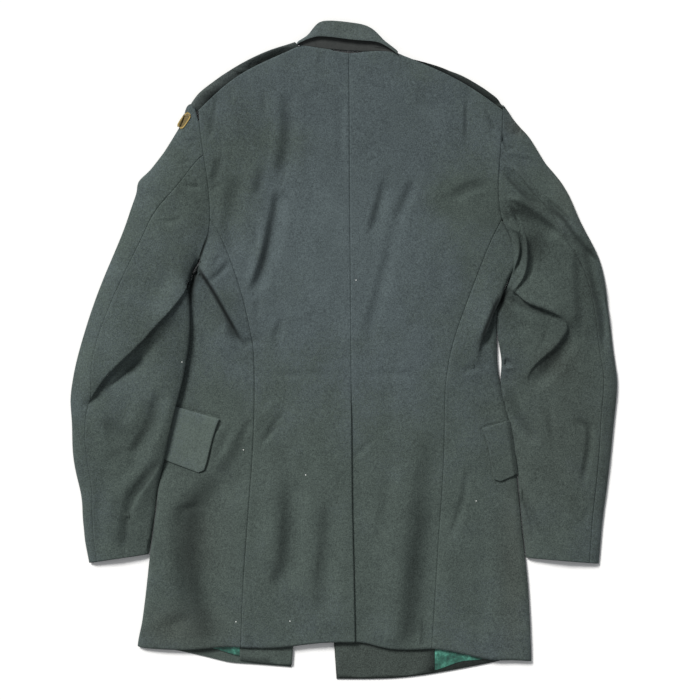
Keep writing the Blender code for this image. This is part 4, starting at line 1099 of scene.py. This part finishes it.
def make_panel(node, levels, tube, tables, finish, cut, rests_on):
    cloth = smooth_cloth(node, levels, tube)
    mesh = cloth.data
    points = read_points(mesh)
    rims = read(mesh, "rim")
    lay = lay_of(points, tube) if tube else np.ones(len(points))
    creases, folds = tables
    loop_shade = np.zeros(len(points))
    if node.startswith("shoulder_loop"):
        loop_shade = roll_loop(points, node.replace("shoulder_loop", "back"))
    if node in ("upper_collar", "under_collar"):
        above = np.maximum(points[:, 2] - COLLAR_BASE, 0)
        points[:, 2] -= above * (1 - COLLAR_PRESS)
    crease(points, lay, creases, CREASE_PRESS)
    overhang(points, lay, folds)
    sew(points, rims, SEAM_DROP, SEAM_WIDE)
    if creases:
        rumple(points, lay)
    nudge(points, rows_for(node))
    points[:, 2] = np.maximum(points[:, 2], 0.0)
    mesh.vertices.foreach_set("co", points.astype(np.float32).ravel())
    # the lightness holds the painted light and shade of the tone patches and each piece's own tone;
    # depth holds the painted shade of folds and beside the loops
    totals, depth = tones(points)
    lighter, bluer, browner = totals + np.reshape(PIECE_TONES.get(node, (0, 0, 0)), (3, 1))
    paint(mesh, "depth", np.maximum(depth, loop_shade))
    paint(mesh, "lightness", lighter * 0.5 + 0.5)
    paint(mesh, "blueness", bluer * 0.5 + 0.5)
    paint(mesh, "brownness", np.clip(browner, 0, 1))
    mesh.update()
    mesh.materials.append(FINISHES[finish])
    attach(cloth, "root")
    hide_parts(node)
    print(cloth.name, len(mesh.polygons), "faces,", round(points[:, 2].max() / MM, 1), "mm high")
    return cloth


PIECES = {row[0]: make_panel(*row) for row in PANELS}

# %% [markdown]
# ## Sewing the panels together
# Two solids that are sewn together stand a hair apart. Real seams are closed, so each panel's
# edge is drawn a little over half of the way to the panel beside it, and to the same height. Below
# the armpit a sleeve only lies beside the body and isn't sewn to it.

# %% Close the seams
SEAM_REACH = 0.0016
ARMPIT_Y = 0.118
SEAM_SHARE = 0.54
SEAM_PANELS = [name for name in PIECES if not name.startswith("front")]


def trees_of(names):
    trees = {}
    for name in names:
        mesh = PIECES[name].data
        trees[name] = BVHTree.FromPolygons([v.co.copy() for v in mesh.vertices],
                                           [tuple(p.vertices) for p in mesh.polygons])
    return trees


def close_seams():
    trees = trees_of(SEAM_PANELS)
    moved = 0
    for name in SEAM_PANELS:
        mesh = PIECES[name].data
        others = {other: tree for other, tree in trees.items() if other != name}
        rims = read(mesh, "rim")
        for i in np.flatnonzero(rims > 0.999):
            here = mesh.vertices[i].co
            hits = [tree.find_nearest(here, SEAM_REACH) for other, tree in others.items()
                    if here.y > ARMPIT_Y or ("sleeve" in other) == ("sleeve" in name)]
            hits = [h for h in hits if h[0] is not None]
            if hits:
                there = min(hits, key=lambda h: h[3])[0]
                mesh.vertices[i].co = here + (there - here) * SEAM_SHARE
                moved += 1
        mesh.update()
    return moved


print(close_seams(), "points of the edges drawn together")

# %% [markdown]
# ## The sleeve patch
# Only a strip of the shoulder patch reaches round to the back of the sleeve. Its panel is mapped
# from its middle outwards on a small rounded rectangle, and each point is dropped on the creased
# sleeve, so that the patch bends as the sleeve does. It is smaller than its solid and lies a little
# away from it, where the real strip shows. The distance to its outline gives the border.

# %% Lay the patch on the sleeve
PATCH_PLACE = (-221, 93.5)
PATCH_LONG, PATCH_BROAD = 0.0220, 0.0100
PATCH_LEAN = math.radians(55)
PATCH_THICK, PATCH_SINK = 0.0010, 0.0002
BORDER_WIDE, BORDER_SOFT = 0.0017, 0.0005
SLEEVE_LEVEL = 0.008


def rounded(values):
    """Squares off a sine or cosine, so that a circle becomes a rounded panel."""
    return np.sign(values) * np.abs(values) ** 0.5


patch = PIECES["sleeve_patch"].data
points = read_points(patch)
flat = points[:, :2] - points[:, :2].mean(0)
turn, reach = np.arctan2(flat[:, 1], flat[:, 0]), np.hypot(*flat.T)
outline = np.array(sorted({v for face in patch.polygons if abs(face.normal.z) < 0.5
                           for v in face.vertices}))
outline = outline[np.argsort(turn[outline])]
reach /= np.interp(turn, turn[outline], reach[outline], period=2 * math.pi)
length = PATCH_LONG / 2 * reach * rounded(np.cos(turn))
width = PATCH_BROAD / 2 * reach * rounded(np.sin(turn))
middle_x, middle_y = place(*PATCH_PLACE)
points[:, 0] = middle_x + math.cos(PATCH_LEAN) * length - math.sin(PATCH_LEAN) * width
points[:, 1] = middle_y + math.sin(PATCH_LEAN) * length + math.cos(PATCH_LEAN) * width
from_edge = np.array([np.hypot(*(points[outline, :2] - point[:2]).T).min() for point in points])
sleeve = trees_of(["upper_sleeve_left"])["upper_sleeve_left"]
facing_up = np.array([vert.normal.z > 0.1 for vert in patch.vertices])
for i, (x, y, _) in enumerate(points):
    hit = sleeve.ray_cast(Vector((x, y, 0.05)), Vector((0, 0, -1)))[0]
    lift = PATCH_THICK if facing_up[i] else -PATCH_SINK
    points[i, 2] = (hit.z if hit else SLEEVE_LEVEL) + lift
patch.vertices.foreach_set("co", points.astype(np.float32).ravel())
paint(patch, "border", np.clip((BORDER_WIDE - from_edge) / BORDER_SOFT, 0, 1))
patch.update()
print("the patch has", len(outline), "points on its outline")

# %% [markdown]
# ## Buttons
# The buttons' solids already have their real shape, so they stay, and only get the brass.

# %% Brass on the buttons
buttons = [node for name, node in NODES.items() if "button" in name]
for button in buttons:
    for slot in button.material_slots:
        slot.material = BRASS
print(len(buttons), "brass buttons")

# %% [markdown]
# ## The end
